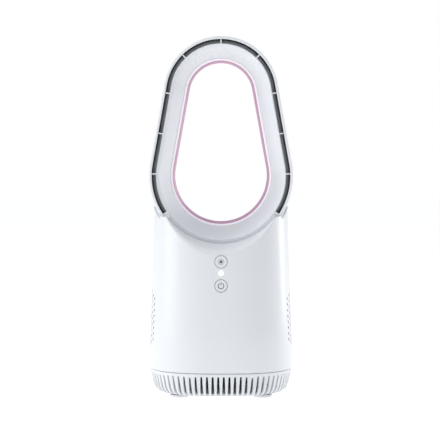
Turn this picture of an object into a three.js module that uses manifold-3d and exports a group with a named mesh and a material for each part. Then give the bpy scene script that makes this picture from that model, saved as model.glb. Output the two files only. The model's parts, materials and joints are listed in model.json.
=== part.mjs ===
// A bladeless desk fan: an egg-shaped air loop on a tapered body, with the impeller hidden in the body.
// Millimetres, +Z up, the front looks along -Y, and the origin is on the floor under the body's axis.

import * as THREE from 'three';
import { mergeGeometries, mergeVertices } from 'three/addons/utils/BufferGeometryUtils.js';
import Module from 'manifold-3d';

const wasm = await Module();
wasm.setup();

// ---- Clearances ----
const GAP = 0.35;            // between pieces that touch
const KEY_GAP = 0.45;        // round a key, which shows as the ring outline
const BLADE_GAP = 1.2;       // between the impeller's blades and the housing

// ---- Body ----
const BODY_SQUARENESS = 2.6; // exponent of the rounded square that the body has in plan
const BODY_FOOT_Z = 26.6;
const BODY_TOP_Z = 188;
const BODY_FOOT_HALF = 72;
const BODY_TOP_HALF = 65.8;
const BODY_WALL = 2.4;
const PLAN_POINTS = 40;

// ---- Air loop ----
const LOWER_RADIUS = 70.6;
const LOWER_Z = 216.7;
const UPPER_RADIUS = 56.4;
const UPPER_Z = 296.9;
const LOOP_HALF_DEPTH = 39;
const LOOP_WALL = 2.3;
const RIM_WIDTH = 2.7;
const SLOT_WIDTH = 4.6;
const SLOT_DEPTH = 8;
const SLOT_REACH = 200;      // along the slot, from the top of the loop to the end of the slot
const RIB_PITCH = 40;
const RIB_THICKNESS = 1.2;
const THROAT_OFFSET = 24.8;  // from the loop's outline in to the narrowest part of the throat
const LIGHT_WIDTH = 4;
const LIGHT_FRONT_Y = -8.6;
const LIGHT_REAR_Y = 0.8;
const STRIP_THICKNESS = 1.4;
const THROAT_SEAM_Y = 12;
const LOOP_ARC_STEP = THREE.MathUtils.degToRad(10);

// ---- Saddle in the top of the body ----
const SADDLE_COVER = 4.7;    // how far the saddle's lip covers the loop's outline
const SADDLE_FLARE = 7.5;    // how much wider the saddle is at the body's surface
const SADDLE_POINTS = 40;

// ---- Intake holes ----
const HOLE_RADIUS = 1.4;
const HOLE_SIDES = 4;
const HOLE_COLUMNS = 11;
const HOLES_IN_MIDDLE = 13;
const HOLE_PITCH_Z = 5.74;
const HOLE_PITCH_Y = 6.6;
const HOLES_Z = 76;

// ---- Base ----
const GRILLE_STEP = 0.8;      // the base stands this far in from the body
const GRILLE_TOP_HALF = BODY_FOOT_HALF - GRILLE_STEP;
const GRILLE_WALL = 2.2;
const GRILLE_FOOT_Z = 3;
const GRILLE_TUCK = 12.7;     // how far the base's foot is in from its top
const GRILLE_FOOT_HALF = GRILLE_TOP_HALF - GRILLE_TUCK;
const GRILLE_FLANK_LEAN = 5.6; // how far the flank leans in before it turns under
const GRILLE_TURN_RISE = 3.2;
const DECK_THICKNESS = 2.6;
const DECK_WIDTH = 22.2;
const DECK_HOLE_RADIUS = GRILLE_TOP_HALF - DECK_WIDTH;
const SLOT_COUNT = 80;
const SLOT_TOP_Z = 23.2;
const SLOT_TOP_WIDTH = 1.8;
const SLOT_FOOT_WIDTH = 3.2;
const SLOT_MARGIN = 1.5;      // solid rim between the slots and the plate's hole
const SLOT_INNER_HALF = GRILLE_FOOT_HALF + SLOT_MARGIN;
const PLATE_THICKNESS = 2.6;
const FOOT_RADIUS = 9;
const FOOT_MARGIN = 17.5;
const FOOT_PLACE = GRILLE_FOOT_HALF - FOOT_MARGIN;
const BASE_SCREW_MARGIN = 20.5;
const BASE_SCREW_PLACE = GRILLE_FOOT_HALF - BASE_SCREW_MARGIN;
const BODY_SCREW_MARGIN = 23;
const BODY_SCREW_PLACE = GRILLE_TOP_HALF - BODY_SCREW_MARGIN;
const POST_RADIUS = 4;

// ---- Keys, indicator and their board ----
const LOOP_FOOT_Z = LOWER_Z - LOWER_RADIUS;
const INDICATOR_DROP = 22.5;  // from the loop's underside down to the indicator
const KEY_RISE = 11;
const KEY_DROP = 12.2;
const INDICATOR_Z = LOOP_FOOT_Z - INDICATOR_DROP;
const LIGHT_KEY_Z = INDICATOR_Z + KEY_RISE;
const POWER_KEY_Z = INDICATOR_Z - KEY_DROP;
const KEY_RADIUS = 5.9;
const KEY_FLANGE_RADIUS = 7.4;
const KEY_FLANGE_THICKNESS = 1;
const KEY_TRAVEL = 0.8;
const INDICATOR_RADIUS = 2.4;
const SWITCH_SIDE = 6.2;
const SWITCH_THICKNESS = 3.2;
const PLUNGER_RADIUS = 1.6;
const BOARD_WIDTH = 32;
const BOARD_HEIGHT = 38;
const BOARD_THICKNESS = 1.6;
const BOARD_DEPTH = 9.4;     // from the body's surface to the front of the board
const BOARD_SCREW_X = 11.5;

// ---- Screws ----
const SCREW_RADIUS = 1.3;
const SCREW_HEAD_RADIUS = 2.8;
const SCREW_HEAD_HEIGHT = 1.5;
const SCREW_LENGTH = 9;

// ---- Inlet socket and drive board ----
const INLET_Z = 42;
const INLET_RADIUS = 5.2;
const INLET_BORE_RADIUS = 2.8;
const INLET_PIN_RADIUS = 1;
const INLET_LENGTH = 14;
const DRIVE_BOARD_WIDTH = 52;
const DRIVE_BOARD_DEPTH = 40;
const DRIVE_BOARD_Z = 10;
const CAPACITOR_RADIUS = 4;
const CAPACITOR_HEIGHT = 9;
const PLUG_HEIGHT = 5;

// ---- Impeller, housing and motor ----
const HOUSING_WALL = 2;
const NECK_REACH = 3.9;       // how far the neck stands into the loop
const NECK_HEIGHT = 13;
const HOUSING_CONE = 19;
const HOUSING_BARREL = 26;
const HOUSING_FUNNEL = 32;
const NECK_TOP_Z = LOOP_FOOT_Z + NECK_REACH;
const NECK_Z = NECK_TOP_Z - NECK_HEIGHT;
const HOUSING_SHOULDER_Z = NECK_Z - HOUSING_CONE;
const HOUSING_WIDE_Z = HOUSING_SHOULDER_Z - HOUSING_BARREL;
const HOUSING_MOUTH_Z = HOUSING_WIDE_Z - HOUSING_FUNNEL;
const HOUSING_MARGIN = 18.8;  // room for the boards between the housing and the top of the body
const HOUSING_WIDE_RADIUS = BODY_TOP_HALF - HOUSING_MARGIN;
const HOUSING_SPREAD = 10;
const HOUSING_MOUTH_RADIUS = HOUSING_WIDE_RADIUS - HOUSING_SPREAD;
const NECK_RADIUS = 24;
const LEG_RADIUS = 3;
const LEG_PLACE = (HOUSING_WIDE_RADIUS + HOUSING_WALL + LEG_RADIUS * 0.63) / Math.SQRT2;
const IMPELLER_RISE = 6;      // above the housing's mouth
const IMPELLER_FOOT_Z = HOUSING_MOUTH_Z + IMPELLER_RISE;
const IMPELLER_DROP = 2;      // below the housing's barrel
const IMPELLER_TOP_Z = HOUSING_WIDE_Z - IMPELLER_DROP;
const HUB_FOOT_RADIUS = 8;
const HUB_TOP_RADIUS = 21;
const BLADE_COUNT = 9;
const BLADE_THICKNESS = 1.3;
const BLADE_SWEEP = THREE.MathUtils.degToRad(42);
const POD_RADIUS = 21;
const POD_RISE = 2.5;         // above the impeller
const POD_FOOT_Z = IMPELLER_TOP_Z + POD_RISE;
const POD_HEIGHT = 35.5;
const POD_TOP_Z = POD_FOOT_Z + POD_HEIGHT;
const VANE_COUNT = 7;
const VANE_THICKNESS = 1.6;
const MOTOR_RADIUS = 18;
const MOTOR_RISE = 2;         // above the pod's foot
const MOTOR_FOOT_Z = POD_FOOT_Z + MOTOR_RISE;
const MOTOR_HEIGHT = 24;
const SHAFT_RADIUS = 1.5;
const BUSH_RADIUS = 4;
const SEAL_WIDTH = 3.2;
const LEAD_RADIUS = 1.1;

// ---- Shape helpers ----

const point = (x, y) => new THREE.Vector2(x, y);
const polar = (radius, angle) => point(radius * Math.cos(angle), radius * Math.sin(angle));

/**
 * A closed mesh through rings of equally many points.
 * The two ends are capped unless the rings close on themselves.
 * The quads on the crossed sides are split along their other diagonal.
 */
function skin(rings, endless = false, crossed = []) {
  const sides = rings[0].length;
  const positions = rings.flat().flatMap((corner) => [corner.x, corner.y, corner.z]);
  const index = [];
  const lastRing = endless ? rings.length : rings.length - 1;
  for (let row = 0; row < lastRing; row += 1) {
    const above = ((row + 1) % rings.length) * sides;
    for (let side = 0; side < sides; side += 1) {
      const here = row * sides + side;
      const next = row * sides + (side + 1) % sides;
      const overHere = above + side;
      const overNext = above + (side + 1) % sides;
      if (crossed.includes(side)) index.push(here, next, overHere, next, overNext, overHere);
      else index.push(here, next, overNext, here, overNext, overHere);
    }
  }
  if (!endless) {
    const caps = [[rings[0], 0, true], [rings.at(-1), (rings.length - 1) * sides, false]];
    for (const [ring, start, first] of caps) {
      const middle = positions.length / 3;
      const centre = ring.reduce((sum, corner) => sum.add(corner), new THREE.Vector3()).divideScalar(sides);
      positions.push(centre.x, centre.y, centre.z);
      for (let side = 0; side < sides; side += 1) {
        const next = (side + 1) % sides;
        index.push(middle, start + (first ? next : side), start + (first ? side : next));
      }
    }
  }
  const geometry = new THREE.BufferGeometry();
  geometry.setAttribute('position', new THREE.Float32BufferAttribute(positions, 3));
  geometry.setIndex(index);
  return facingOut(geometry);
}

/** Six times the volume that the mesh encloses, negative when its faces point inwards. */
function signedVolume(geometry) {
  const { position } = geometry.attributes;
  const corner = (place) => new THREE.Vector3().fromBufferAttribute(position, geometry.index.getX(place));
  let volume = 0;
  for (let place = 0; place < geometry.index.count; place += 3) {
    volume += corner(place).dot(corner(place + 1).cross(corner(place + 2)));
  }
  return volume;
}

/** The mesh with its faces turned round if they point inwards. */
function facingOut(geometry) {
  if (signedVolume(geometry) < 0) geometry.index.array.reverse();
  return geometry;
}

/** The mesh as vertices and triangles alone: shared corners are merged and triangles with no area go. */
function welded(geometry) {
  const bare = geometry.clone();
  bare.deleteAttribute('normal');
  bare.deleteAttribute('uv');
  const merged = mergeVertices(bare, 1e-4);
  const kept = [];
  for (let place = 0; place < merged.index.count; place += 3) {
    const corners = [0, 1, 2].map((step) => merged.index.getX(place + step));
    if (new Set(corners).size === 3) kept.push(...corners);
  }
  merged.setIndex(kept);
  return facingOut(merged);
}

/** A solid that can be joined and cut. */
function solid(geometry) {
  const mesh = welded(geometry);
  return new wasm.Manifold(new wasm.Mesh({
    numProp: 3,
    vertProperties: new Float32Array(mesh.attributes.position.array),
    triVerts: new Uint32Array(mesh.index.array),
  }));
}

const SHORTEST_EDGE = 0.03;

/** The geometry of a joined or cut solid, without the splinters that a cut can leave. */
function surface(manifold) {
  const mesh = manifold.simplify(SHORTEST_EDGE).getMesh();
  const geometry = new THREE.BufferGeometry();
  geometry.setAttribute('position', new THREE.BufferAttribute(new Float32Array(mesh.vertProperties), 3));
  geometry.setIndex(new THREE.BufferAttribute(new Uint32Array(mesh.triVerts), 1));
  return geometry;
}

/** The first geometry with others joined to it. */
function join(geometry, ...others) {
  return surface(others.reduce((whole, other) => whole.add(solid(other)), solid(geometry)));
}

/** The first geometry with others cut out of it. */
function cut(geometry, ...tools) {
  return surface(tools.reduce((whole, tool) => whole.subtract(solid(tool)), solid(geometry)));
}

/** A shape turned about the vertical axis; its [radius, height] points start and end on it or close a ring. */
function turned(profile, segments = 24) {
  const outline = profile.map(([radius, height]) => point(radius, height));
  return welded(new THREE.LatheGeometry(outline, segments).rotateX(Math.PI / 2));
}

/** A ring of rectangular section about the vertical axis. */
function ringBlock(innerRadius, outerRadius, footZ, topZ, segments = 24) {
  const corners = [[innerRadius, footZ], [outerRadius, footZ], [outerRadius, topZ], [innerRadius, topZ]];
  return turned([...corners, corners[0]], segments);
}

/** An upright round bar. */
function bar(radius, footZ, topZ, x = 0, y = 0, segments = 16) {
  const geometry = new THREE.CylinderGeometry(radius, radius, topZ - footZ, segments);
  return geometry.rotateX(Math.PI / 2).translate(x, y, (footZ + topZ) / 2);
}

/** A round bar that lies along Y, from the front to the rear. */
function barAlongY(radius, frontY, rearY, x = 0, z = 0, segments = 20) {
  const geometry = new THREE.CylinderGeometry(radius, radius, rearY - frontY, segments);
  return geometry.translate(x, (frontY + rearY) / 2, z);
}

/** A block from its lowest to its highest corner. */
function block(low, high) {
  const size = high.map((value, axis) => value - low[axis]);
  const middle = high.map((value, axis) => (value + low[axis]) / 2);
  return new THREE.BoxGeometry(...size).translate(...middle);
}

/** A mesh with its own finish. */
function piece(name, geometry, colour, roughness, metalness = 0) {
  const material = new THREE.MeshStandardMaterial({ color: colour, roughness, metalness });
  const mesh = new THREE.Mesh(geometry, material);
  mesh.name = name;
  return mesh;
}

// ---- The body's rounded square plan ----

/** How far the plan's edge is from the axis in one direction, for a half width of one. */
function planReach(angle) {
  const across = Math.abs(Math.cos(angle)) ** BODY_SQUARENESS;
  const along = Math.abs(Math.sin(angle)) ** BODY_SQUARENESS;
  return (across + along) ** (-1 / BODY_SQUARENESS);
}

/** The plan at one height, with its points at whole steps or, turned, between them. */
function planRing(half, z, count, turn) {
  return Array.from({ length: count }, (_, step) => {
    const angle = (2 * Math.PI * (step + turn)) / count;
    const { x, y } = polar(half * planReach(angle), angle);
    return new THREE.Vector3(x, y, z);
  });
}

/** A solid with the body's plan, from [half width, height] steps. */
const planSolid = (steps, count = PLAN_POINTS, turn = 0) => (
  skin(steps.map(([half, z]) => planRing(half, z, count, turn))));

const bodyTaper = (BODY_FOOT_HALF - BODY_TOP_HALF) / (BODY_TOP_Z - BODY_FOOT_Z);
const bodyHalf = (z) => BODY_FOOT_HALF - bodyTaper * (z - BODY_FOOT_Z);

// ---- Air loop: an egg-shaped ring on a lower and an upper circle, with straight sides between them ----

const sideTilt = Math.asin((LOWER_RADIUS - UPPER_RADIUS) / (UPPER_Z - LOWER_Z));
const sideLength = (UPPER_Z - LOWER_Z) * Math.cos(sideTilt);
const slotInner = RIM_WIDTH + SLOT_WIDTH;
const slotMiddle = RIM_WIDTH + SLOT_WIDTH / 2;
const lightOuter = THROAT_OFFSET - LIGHT_WIDTH;
const channelRearY = LIGHT_REAR_Y + STRIP_THICKNESS + 2 * GAP;

const lowerCircle = { radius: LOWER_RADIUS, z: LOWER_Z };
const upperCircle = { radius: UPPER_RADIUS, z: UPPER_Z };

/** A section of [offset inwards, depth] points, stood up at one angle on one of the circles. */
function loopRing(profile, circle, angle) {
  return profile.map(([offset, depth]) => {
    const { x, y } = polar(circle.radius - offset, angle);
    return new THREE.Vector3(x, depth, circle.z + y);
  });
}

/** Rings along an arc of one circle, in equal steps. */
function loopArc(profile, circle, start, end) {
  const steps = Math.ceil((end - start) / LOOP_ARC_STEP);
  return Array.from({ length: steps + 1 }, (_, step) => (
    loopRing(profile, circle, start + ((end - start) * step) / steps)));
}

/** A section carried all the way round the loop. */
function loopBand(profile) {
  const upper = loopArc(profile, upperCircle, sideTilt, Math.PI - sideTilt);
  const lower = loopArc(profile, lowerCircle, Math.PI - sideTilt, 2 * Math.PI + sideTilt);
  return skin([...upper, ...lower], true);
}

/** Where the slot's middle line is at a distance from the loop's top, on the right side: {x, z, angle}. */
function slotPlace(reach) {
  const upperArc = (UPPER_RADIUS - slotMiddle) * (Math.PI / 2 - sideTilt);
  if (reach <= upperArc) {
    const angle = Math.PI / 2 - reach / (UPPER_RADIUS - slotMiddle);
    const { x, y } = polar(UPPER_RADIUS - slotMiddle, angle);
    return { x, z: UPPER_Z + y, angle };
  }
  const start = polar(UPPER_RADIUS - slotMiddle, sideTilt);
  const down = Math.min(reach - upperArc, sideLength);
  if (reach <= upperArc + sideLength) {
    const x = start.x + down * Math.sin(sideTilt);
    return { x, z: UPPER_Z + start.y - down * Math.cos(sideTilt), angle: sideTilt };
  }
  const angle = sideTilt - (reach - upperArc - sideLength) / (LOWER_RADIUS - slotMiddle);
  const { x, y } = polar(LOWER_RADIUS - slotMiddle, angle);
  return { x, z: LOWER_Z + y, angle };
}

const TAIL_OFFSET = 11;        // from the outline in to the rearmost line of the loop
const TAIL_OUTER_LENGTH = 15;
const TAIL_STEPS = 3;
const THROAT_REAR_OFFSET = 23.6;
const FRONT_ROUNDING = 0.9;

/** A quarter of an ellipse round the loop's tail. */
function tailQuarter(middle, reach, start) {
  return Array.from({ length: TAIL_STEPS + 1 }, (_, step) => {
    const angle = start + (Math.PI / 2) * (step / TAIL_STEPS);
    return [middle[0] - reach[0] * Math.cos(angle), middle[1] + reach[1] * Math.sin(angle)];
  });
}

/** The tail's curve at a depth below its surface. */
function tailCurve(depth) {
  const outerMiddle = [TAIL_OFFSET, LOOP_HALF_DEPTH - TAIL_OUTER_LENGTH];
  const innerMiddle = [TAIL_OFFSET, THROAT_SEAM_Y + GAP];
  const innerReach = [THROAT_REAR_OFFSET - TAIL_OFFSET - depth, LOOP_HALF_DEPTH - innerMiddle[1] - depth];
  const outer = tailQuarter(outerMiddle, [TAIL_OFFSET - depth, TAIL_OUTER_LENGTH - depth], 0);
  const inner = tailQuarter(innerMiddle, innerReach, Math.PI / 2);
  return [...outer, ...inner.slice(1)];
}

/** The loop's outer and rear wall, with the inlet in its bottom. */
function loopShroud() {
  const front = -LOOP_HALF_DEPTH;
  const profile = [
    [RIM_WIDTH, front + SLOT_DEPTH], [RIM_WIDTH, front + FRONT_ROUNDING / 2], [RIM_WIDTH / 2, front],
    [FRONT_ROUNDING / 3, front + FRONT_ROUNDING], [0, front + 2 * FRONT_ROUNDING],
    ...tailCurve(0), ...tailCurve(LOOP_WALL).reverse(), [LOOP_WALL, front + SLOT_DEPTH],
  ];
  const bottomZ = LOWER_Z - LOWER_RADIUS;
  const inlet = bar(NECK_RADIUS + 2 * GAP, bottomZ - LOOP_WALL, NECK_TOP_Z + LOOP_WALL, 0, 0, 32);
  return piece('loop_shroud', cut(loopBand(profile), inlet), 0xf2f3f5, 0.35);
}

const FUNNEL_BOW = 1.2;        // above one, the funnel bellies towards the slot
const FUNNEL_STEPS = 4;

/** The visible curve of the funnel, from the slot's lip in to the light ring. */
function funnelCurve() {
  return Array.from({ length: FUNNEL_STEPS + 1 }, (_, step) => {
    const share = step / FUNNEL_STEPS;
    const depth = -LOOP_HALF_DEPTH + (LIGHT_FRONT_Y + LOOP_HALF_DEPTH) * share ** FUNNEL_BOW;
    return [slotInner + FRONT_ROUNDING + (lightOuter - GAP - slotInner - FRONT_ROUNDING) * share, depth];
  });
}

/** The loop's inner wall: funnel, light ring's channel, start of the throat, ribs and closed bottom. */
function loopFunnel() {
  const front = -LOOP_HALF_DEPTH;
  const visible = funnelCurve();
  const hidden = visible.slice(1, -1).map(([offset, depth]) => [offset - LOOP_WALL, depth + LOOP_WALL / 2]);
  const channel = lightOuter - GAP;
  const profile = [
    [slotInner, front + SLOT_DEPTH], [slotInner, front + FRONT_ROUNDING / 2], ...visible,
    [channel, channelRearY], [THROAT_OFFSET - GAP, channelRearY], [THROAT_REAR_OFFSET, THROAT_SEAM_Y],
    [THROAT_REAR_OFFSET - LOOP_WALL, THROAT_SEAM_Y],
    [THROAT_REAR_OFFSET - LOOP_WALL, channelRearY + LOOP_WALL],
    [channel - LOOP_WALL, channelRearY + LOOP_WALL], [channel - LOOP_WALL, LIGHT_FRONT_Y],
    ...hidden.reverse(),
  ];
  const ribReach = Array.from({ length: SLOT_REACH / RIB_PITCH }, (_, rib) => rib * RIB_PITCH);
  const pair = (reach) => [slotRib(reach, 1), slotRib(reach, -1)];
  const ribs = ribReach.flatMap((reach) => (reach === 0 ? [slotRib(0, 1)] : pair(reach)));
  const end = slotPlace(SLOT_REACH).angle;
  const floor = [
    [RIM_WIDTH + GAP, front + GAP], [slotInner + FRONT_ROUNDING, front + GAP],
    [slotInner + FRONT_ROUNDING, front + SLOT_DEPTH / 2], [RIM_WIDTH + GAP, front + SLOT_DEPTH / 2],
  ];
  const closedBottom = skin(loopArc(floor, lowerCircle, Math.PI - end, 2 * Math.PI + end));
  return piece('loop_funnel', join(loopBand(profile), closedBottom, ...ribs), 0xf4f5f7, 0.3);
}

/** One rib across the slot, on the right (1) or left (-1) side. */
function slotRib(reach, side) {
  const { x, z, angle } = slotPlace(reach);
  const inner = SLOT_WIDTH / 2 + FRONT_ROUNDING / 2;
  const outer = SLOT_WIDTH / 2 - GAP;
  const front = -LOOP_HALF_DEPTH + GAP;
  const high = [outer, front + SLOT_DEPTH - GAP, RIB_THICKNESS / 2];
  const rib = block([-inner, front, -RIB_THICKNESS / 2], high);
  return rib.rotateY(side > 0 ? -angle : angle - Math.PI).translate(side * x, 0, z);
}

/** The pink ring at the throat: a narrow outer band and a wider band that slopes into the throat. */
function lightRing() {
  const band = 1.1;
  const profile = [
    [lightOuter, LIGHT_FRONT_Y], [lightOuter + band, LIGHT_FRONT_Y],
    [THROAT_OFFSET, LIGHT_FRONT_Y + LIGHT_WIDTH],
    [THROAT_OFFSET, LIGHT_REAR_Y], [lightOuter, LIGHT_REAR_Y],
  ];
  return piece('light_ring', loopBand(profile), 0xdfa9c9, 0.4);
}

/** The lamp strip behind the light ring. */
function ledStrip() {
  const front = LIGHT_REAR_Y + GAP;
  const profile = [
    [lightOuter + GAP, front], [THROAT_OFFSET - 2 * GAP, front],
    [THROAT_OFFSET - 2 * GAP, front + STRIP_THICKNESS], [lightOuter + GAP, front + STRIP_THICKNESS],
  ];
  return piece('led_strip', loopBand(profile), 0xf0efe6, 0.6);
}

// ---- Body shell ----

const seatHalf = LOOP_HALF_DEPTH + GAP;
const seatRadius = LOWER_RADIUS + GAP;
const saddleLip = LOWER_RADIUS - SADDLE_COVER;
const SADDLE_BEND = 2.8;       // how late the saddle turns into the body's surface
const SADDLE_STEPS = [0, 0.6, 0.9, 1.3];

/** The saddle as a solid to cut with, turned about the loop's lower axis and grown by a wall. */
function saddle(wall) {
  const surfaceY = bodyHalf(LOWER_Z - LOWER_RADIUS);
  const lip = SADDLE_STEPS.map((share) => [
    saddleLip + wall + SADDLE_FLARE * share ** SADDLE_BEND,
    seatHalf + wall + (surfaceY - seatHalf) * share,
  ]);
  const half = [[seatRadius + wall, seatHalf + wall], ...lip, [0, lip.at(-1)[1]]];
  const other = half.map(([radius, y]) => [radius, -y]).reverse();
  const profile = [...other, ...half].map(([radius, y]) => point(radius, y));
  return welded(new THREE.LatheGeometry(profile, SADDLE_POINTS)).translate(0, 0, LOWER_Z);
}

/** All the intake holes, each one bar that passes through both sides of the body. */
function intakeHoles() {
  const middle = (HOLE_COLUMNS - 1) / 2;
  const holes = [];
  for (let column = 0; column < HOLE_COLUMNS; column += 1) {
    const count = HOLES_IN_MIDDLE - Math.abs(column - middle);
    for (let hole = 0; hole < count; hole += 1) {
      const tool = new THREE.CylinderGeometry(HOLE_RADIUS, HOLE_RADIUS, 3 * BODY_FOOT_HALF, HOLE_SIDES);
      const z = HOLES_Z + (hole - (count - 1) / 2) * HOLE_PITCH_Z;
      holes.push(tool.rotateZ(Math.PI / 2).translate(0, (column - middle) * HOLE_PITCH_Y, z));
    }
  }
  return mergeGeometries(holes);
}

/** The four corners of the plan, as signs of x and y. */
const corners = [
  { name: 'front_left', x: -1, y: -1 }, { name: 'front_right', x: 1, y: -1 },
  { name: 'rear_left', x: -1, y: 1 }, { name: 'rear_right', x: 1, y: 1 },
];

// The front panel's frame: on the body's surface at the indicator's height, +Y into the body, +Z up the wall.
const wallLean = Math.atan(bodyTaper);
const panel = new THREE.Group();
panel.position.set(0, -bodyHalf(INDICATOR_Z), INDICATOR_Z);
panel.rotation.x = -wallLean;
panel.updateMatrix();
const onPanel = (geometry) => geometry.applyMatrix4(panel.matrix);
const panelHeight = (z) => (z - INDICATOR_Z) / Math.cos(wallLean);

const CAVITY_TOP_DROP = 16;
const TAB_WIDTH = 9;
const TAB_HEIGHT = 12;
const PANEL_POST_RADIUS = 3;

/** A block inside one corner of the body that takes a screw from below. */
function cornerTab(corner) {
  const reach = BODY_SCREW_PLACE * Math.SQRT2;
  const wallReach = (bodyHalf(BODY_FOOT_Z + TAB_HEIGHT) - BODY_WALL / 2) * planReach(Math.PI / 4);
  const low = [reach - TAB_WIDTH / 2, -TAB_WIDTH / 2, BODY_FOOT_Z];
  const tab = block(low, [wallReach, TAB_WIDTH / 2, BODY_FOOT_Z + TAB_HEIGHT]);
  return tab.rotateZ(Math.atan2(corner.y, corner.x));
}

/** The body shell: one tapered wall with the saddle on top, the neck opening, and every hole in the wall. */
function bodyShell() {
  const outside = planSolid([[bodyHalf(BODY_FOOT_Z), BODY_FOOT_Z], [bodyHalf(BODY_TOP_Z), BODY_TOP_Z]]);
  const cavityTop = BODY_TOP_Z - CAVITY_TOP_DROP;
  const cavityFoot = BODY_FOOT_Z - BODY_WALL;
  const cavity = cut(planSolid([
    [bodyHalf(cavityFoot) - BODY_WALL, cavityFoot], [bodyHalf(cavityTop) - BODY_WALL, cavityTop],
  ]), saddle(BODY_WALL));
  const post = (x) => onPanel(barAlongY(PANEL_POST_RADIUS, BODY_WALL / 2, BOARD_DEPTH - GAP, x, 0));
  const walls = join(
    cut(outside, saddle(0), cavity),
    ...corners.map(cornerTab),
    post(-BOARD_SCREW_X),
    post(BOARD_SCREW_X),
  );
  const panelHole = (radius, z) => (
    onPanel(barAlongY(radius, -BODY_WALL, 2 * BODY_WALL, 0, panelHeight(z), 32)));
  const postHole = (x) => onPanel(barAlongY(SCREW_RADIUS + GAP, BODY_WALL + GAP, BOARD_DEPTH, x, 0, 10));
  const tabHole = ({ x, y }) => {
    const place = BODY_SCREW_PLACE;
    const top = BODY_FOOT_Z + TAB_HEIGHT - BODY_WALL;
    return bar(SCREW_RADIUS + GAP, cavityFoot, top, x * place, y * place, 10);
  };
  const rear = bodyHalf(INLET_Z);
  const shell = cut(
    walls,
    bar(NECK_RADIUS + 2 * GAP, NECK_Z, BODY_TOP_Z, 0, 0, 32),
    panelHole(KEY_RADIUS + KEY_GAP, LIGHT_KEY_Z),
    panelHole(KEY_RADIUS + KEY_GAP, POWER_KEY_Z),
    panelHole(INDICATOR_RADIUS + GAP, INDICATOR_Z),
    postHole(-BOARD_SCREW_X),
    postHole(BOARD_SCREW_X),
    ...corners.map(tabHole),
    barAlongY(INLET_RADIUS + GAP, rear - 2 * BODY_WALL, rear + BODY_WALL, 0, INLET_Z),
    intakeHoles(),
  );
  return piece('body_shell', shell, 0xf5f6f8, 0.32);
}

// ---- Base ----

const deckTopZ = BODY_FOOT_Z - GAP;
const deckFootZ = deckTopZ - DECK_THICKNESS;
const plateHalf = GRILLE_FOOT_HALF - GAP - 1;
const plateFootZ = GRILLE_FOOT_Z + GAP / 2;
const plateTopZ = plateFootZ + PLATE_THICKNESS;
const GRILLE_TURN_HALF = GRILLE_TOP_HALF - GRILLE_FLANK_LEAN;
const GRILLE_TURN_Z = GRILLE_FOOT_Z + GRILLE_TURN_RISE;
const SLOT_FOOT_Z = GRILLE_TURN_Z + GAP;

/** One slot as a wedge that points into the base, square to its side. */
function grilleSlot(angle) {
  const { x, y } = polar(GRILLE_TOP_HALF * planReach(angle), angle);
  const steep = (value) => Math.sign(value) * Math.abs(value) ** (BODY_SQUARENESS - 1);
  const out = new THREE.Vector3(steep(x), steep(y), 0).normalize();
  const across = new THREE.Vector3(-out.y, out.x, 0);
  const outline = [
    [-SLOT_TOP_WIDTH, SLOT_TOP_Z], [SLOT_TOP_WIDTH, SLOT_TOP_Z],
    [SLOT_FOOT_WIDTH, SLOT_FOOT_Z], [-SLOT_FOOT_WIDTH, SLOT_FOOT_Z],
  ];
  const ring = (reach) => outline.map(([width, z]) => (
    new THREE.Vector3(x, y, z).addScaledVector(out, reach).addScaledVector(across, width / 2)));
  return skin([ring(SLOT_INNER_HALF - GRILLE_TOP_HALF - GRILLE_WALL), ring(GRILLE_WALL)]);
}

/** The slotted ring under the body, with its deck, the base screws' posts and the plate's rim. */
function baseGrille() {
  // The plan's edges run up the middle of the slots, so each bar between two slots has flat sides.
  const slottedPlan = (steps) => planSolid(steps, SLOT_COUNT, 0.5);
  const outside = slottedPlan([
    [GRILLE_FOOT_HALF, GRILLE_FOOT_Z], [GRILLE_TURN_HALF, GRILLE_TURN_Z], [GRILLE_TOP_HALF, deckTopZ],
  ]);
  const cavityFootZ = GRILLE_FOOT_Z + GRILLE_WALL;
  const inside = slottedPlan([
    [SLOT_INNER_HALF, cavityFootZ], [GRILLE_TOP_HALF - GRILLE_WALL, deckFootZ],
  ]);
  const plateHole = planSolid([[plateHalf + GAP, 0], [plateHalf + GAP, cavityFootZ + GAP]]);
  const post = ({ x, y }) => {
    const place = BASE_SCREW_PLACE;
    return bar(POST_RADIUS, plateTopZ + GAP, deckFootZ + GAP, x * place, y * place, 12);
  };
  const screwHole = ({ x, y }) => {
    const place = BASE_SCREW_PLACE;
    return bar(SCREW_RADIUS + GAP, plateTopZ, plateTopZ + SCREW_LENGTH, x * place, y * place, 8);
  };
  const deckHole = ({ x, y }) => {
    const place = BODY_SCREW_PLACE;
    return bar(SCREW_RADIUS + GAP, deckFootZ - GAP, deckTopZ + GAP, x * place, y * place, 8);
  };
  const slotPitch = (2 * Math.PI) / SLOT_COUNT;
  const slots = Array.from({ length: SLOT_COUNT }, (_, slot) => grilleSlot(slotPitch * (slot + 0.5)));
  const ring = join(cut(outside, inside, plateHole), ...corners.map(post));
  const open = cut(
    ring,
    bar(DECK_HOLE_RADIUS, deckFootZ - GAP, deckTopZ + GAP, 0, 0, 40),
    ...corners.map(screwHole),
    ...corners.map(deckHole),
    ...slots,
  );
  return piece('base_grille', open, 0xeef0f2, 0.4);
}

const BOARD_POST_RADIUS = 2.2;
const boardPosts = corners.map(({ x, y }) => [
  x * (DRIVE_BOARD_WIDTH / 2 - 4), y * (DRIVE_BOARD_DEPTH / 2 - 4),
]);

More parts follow.
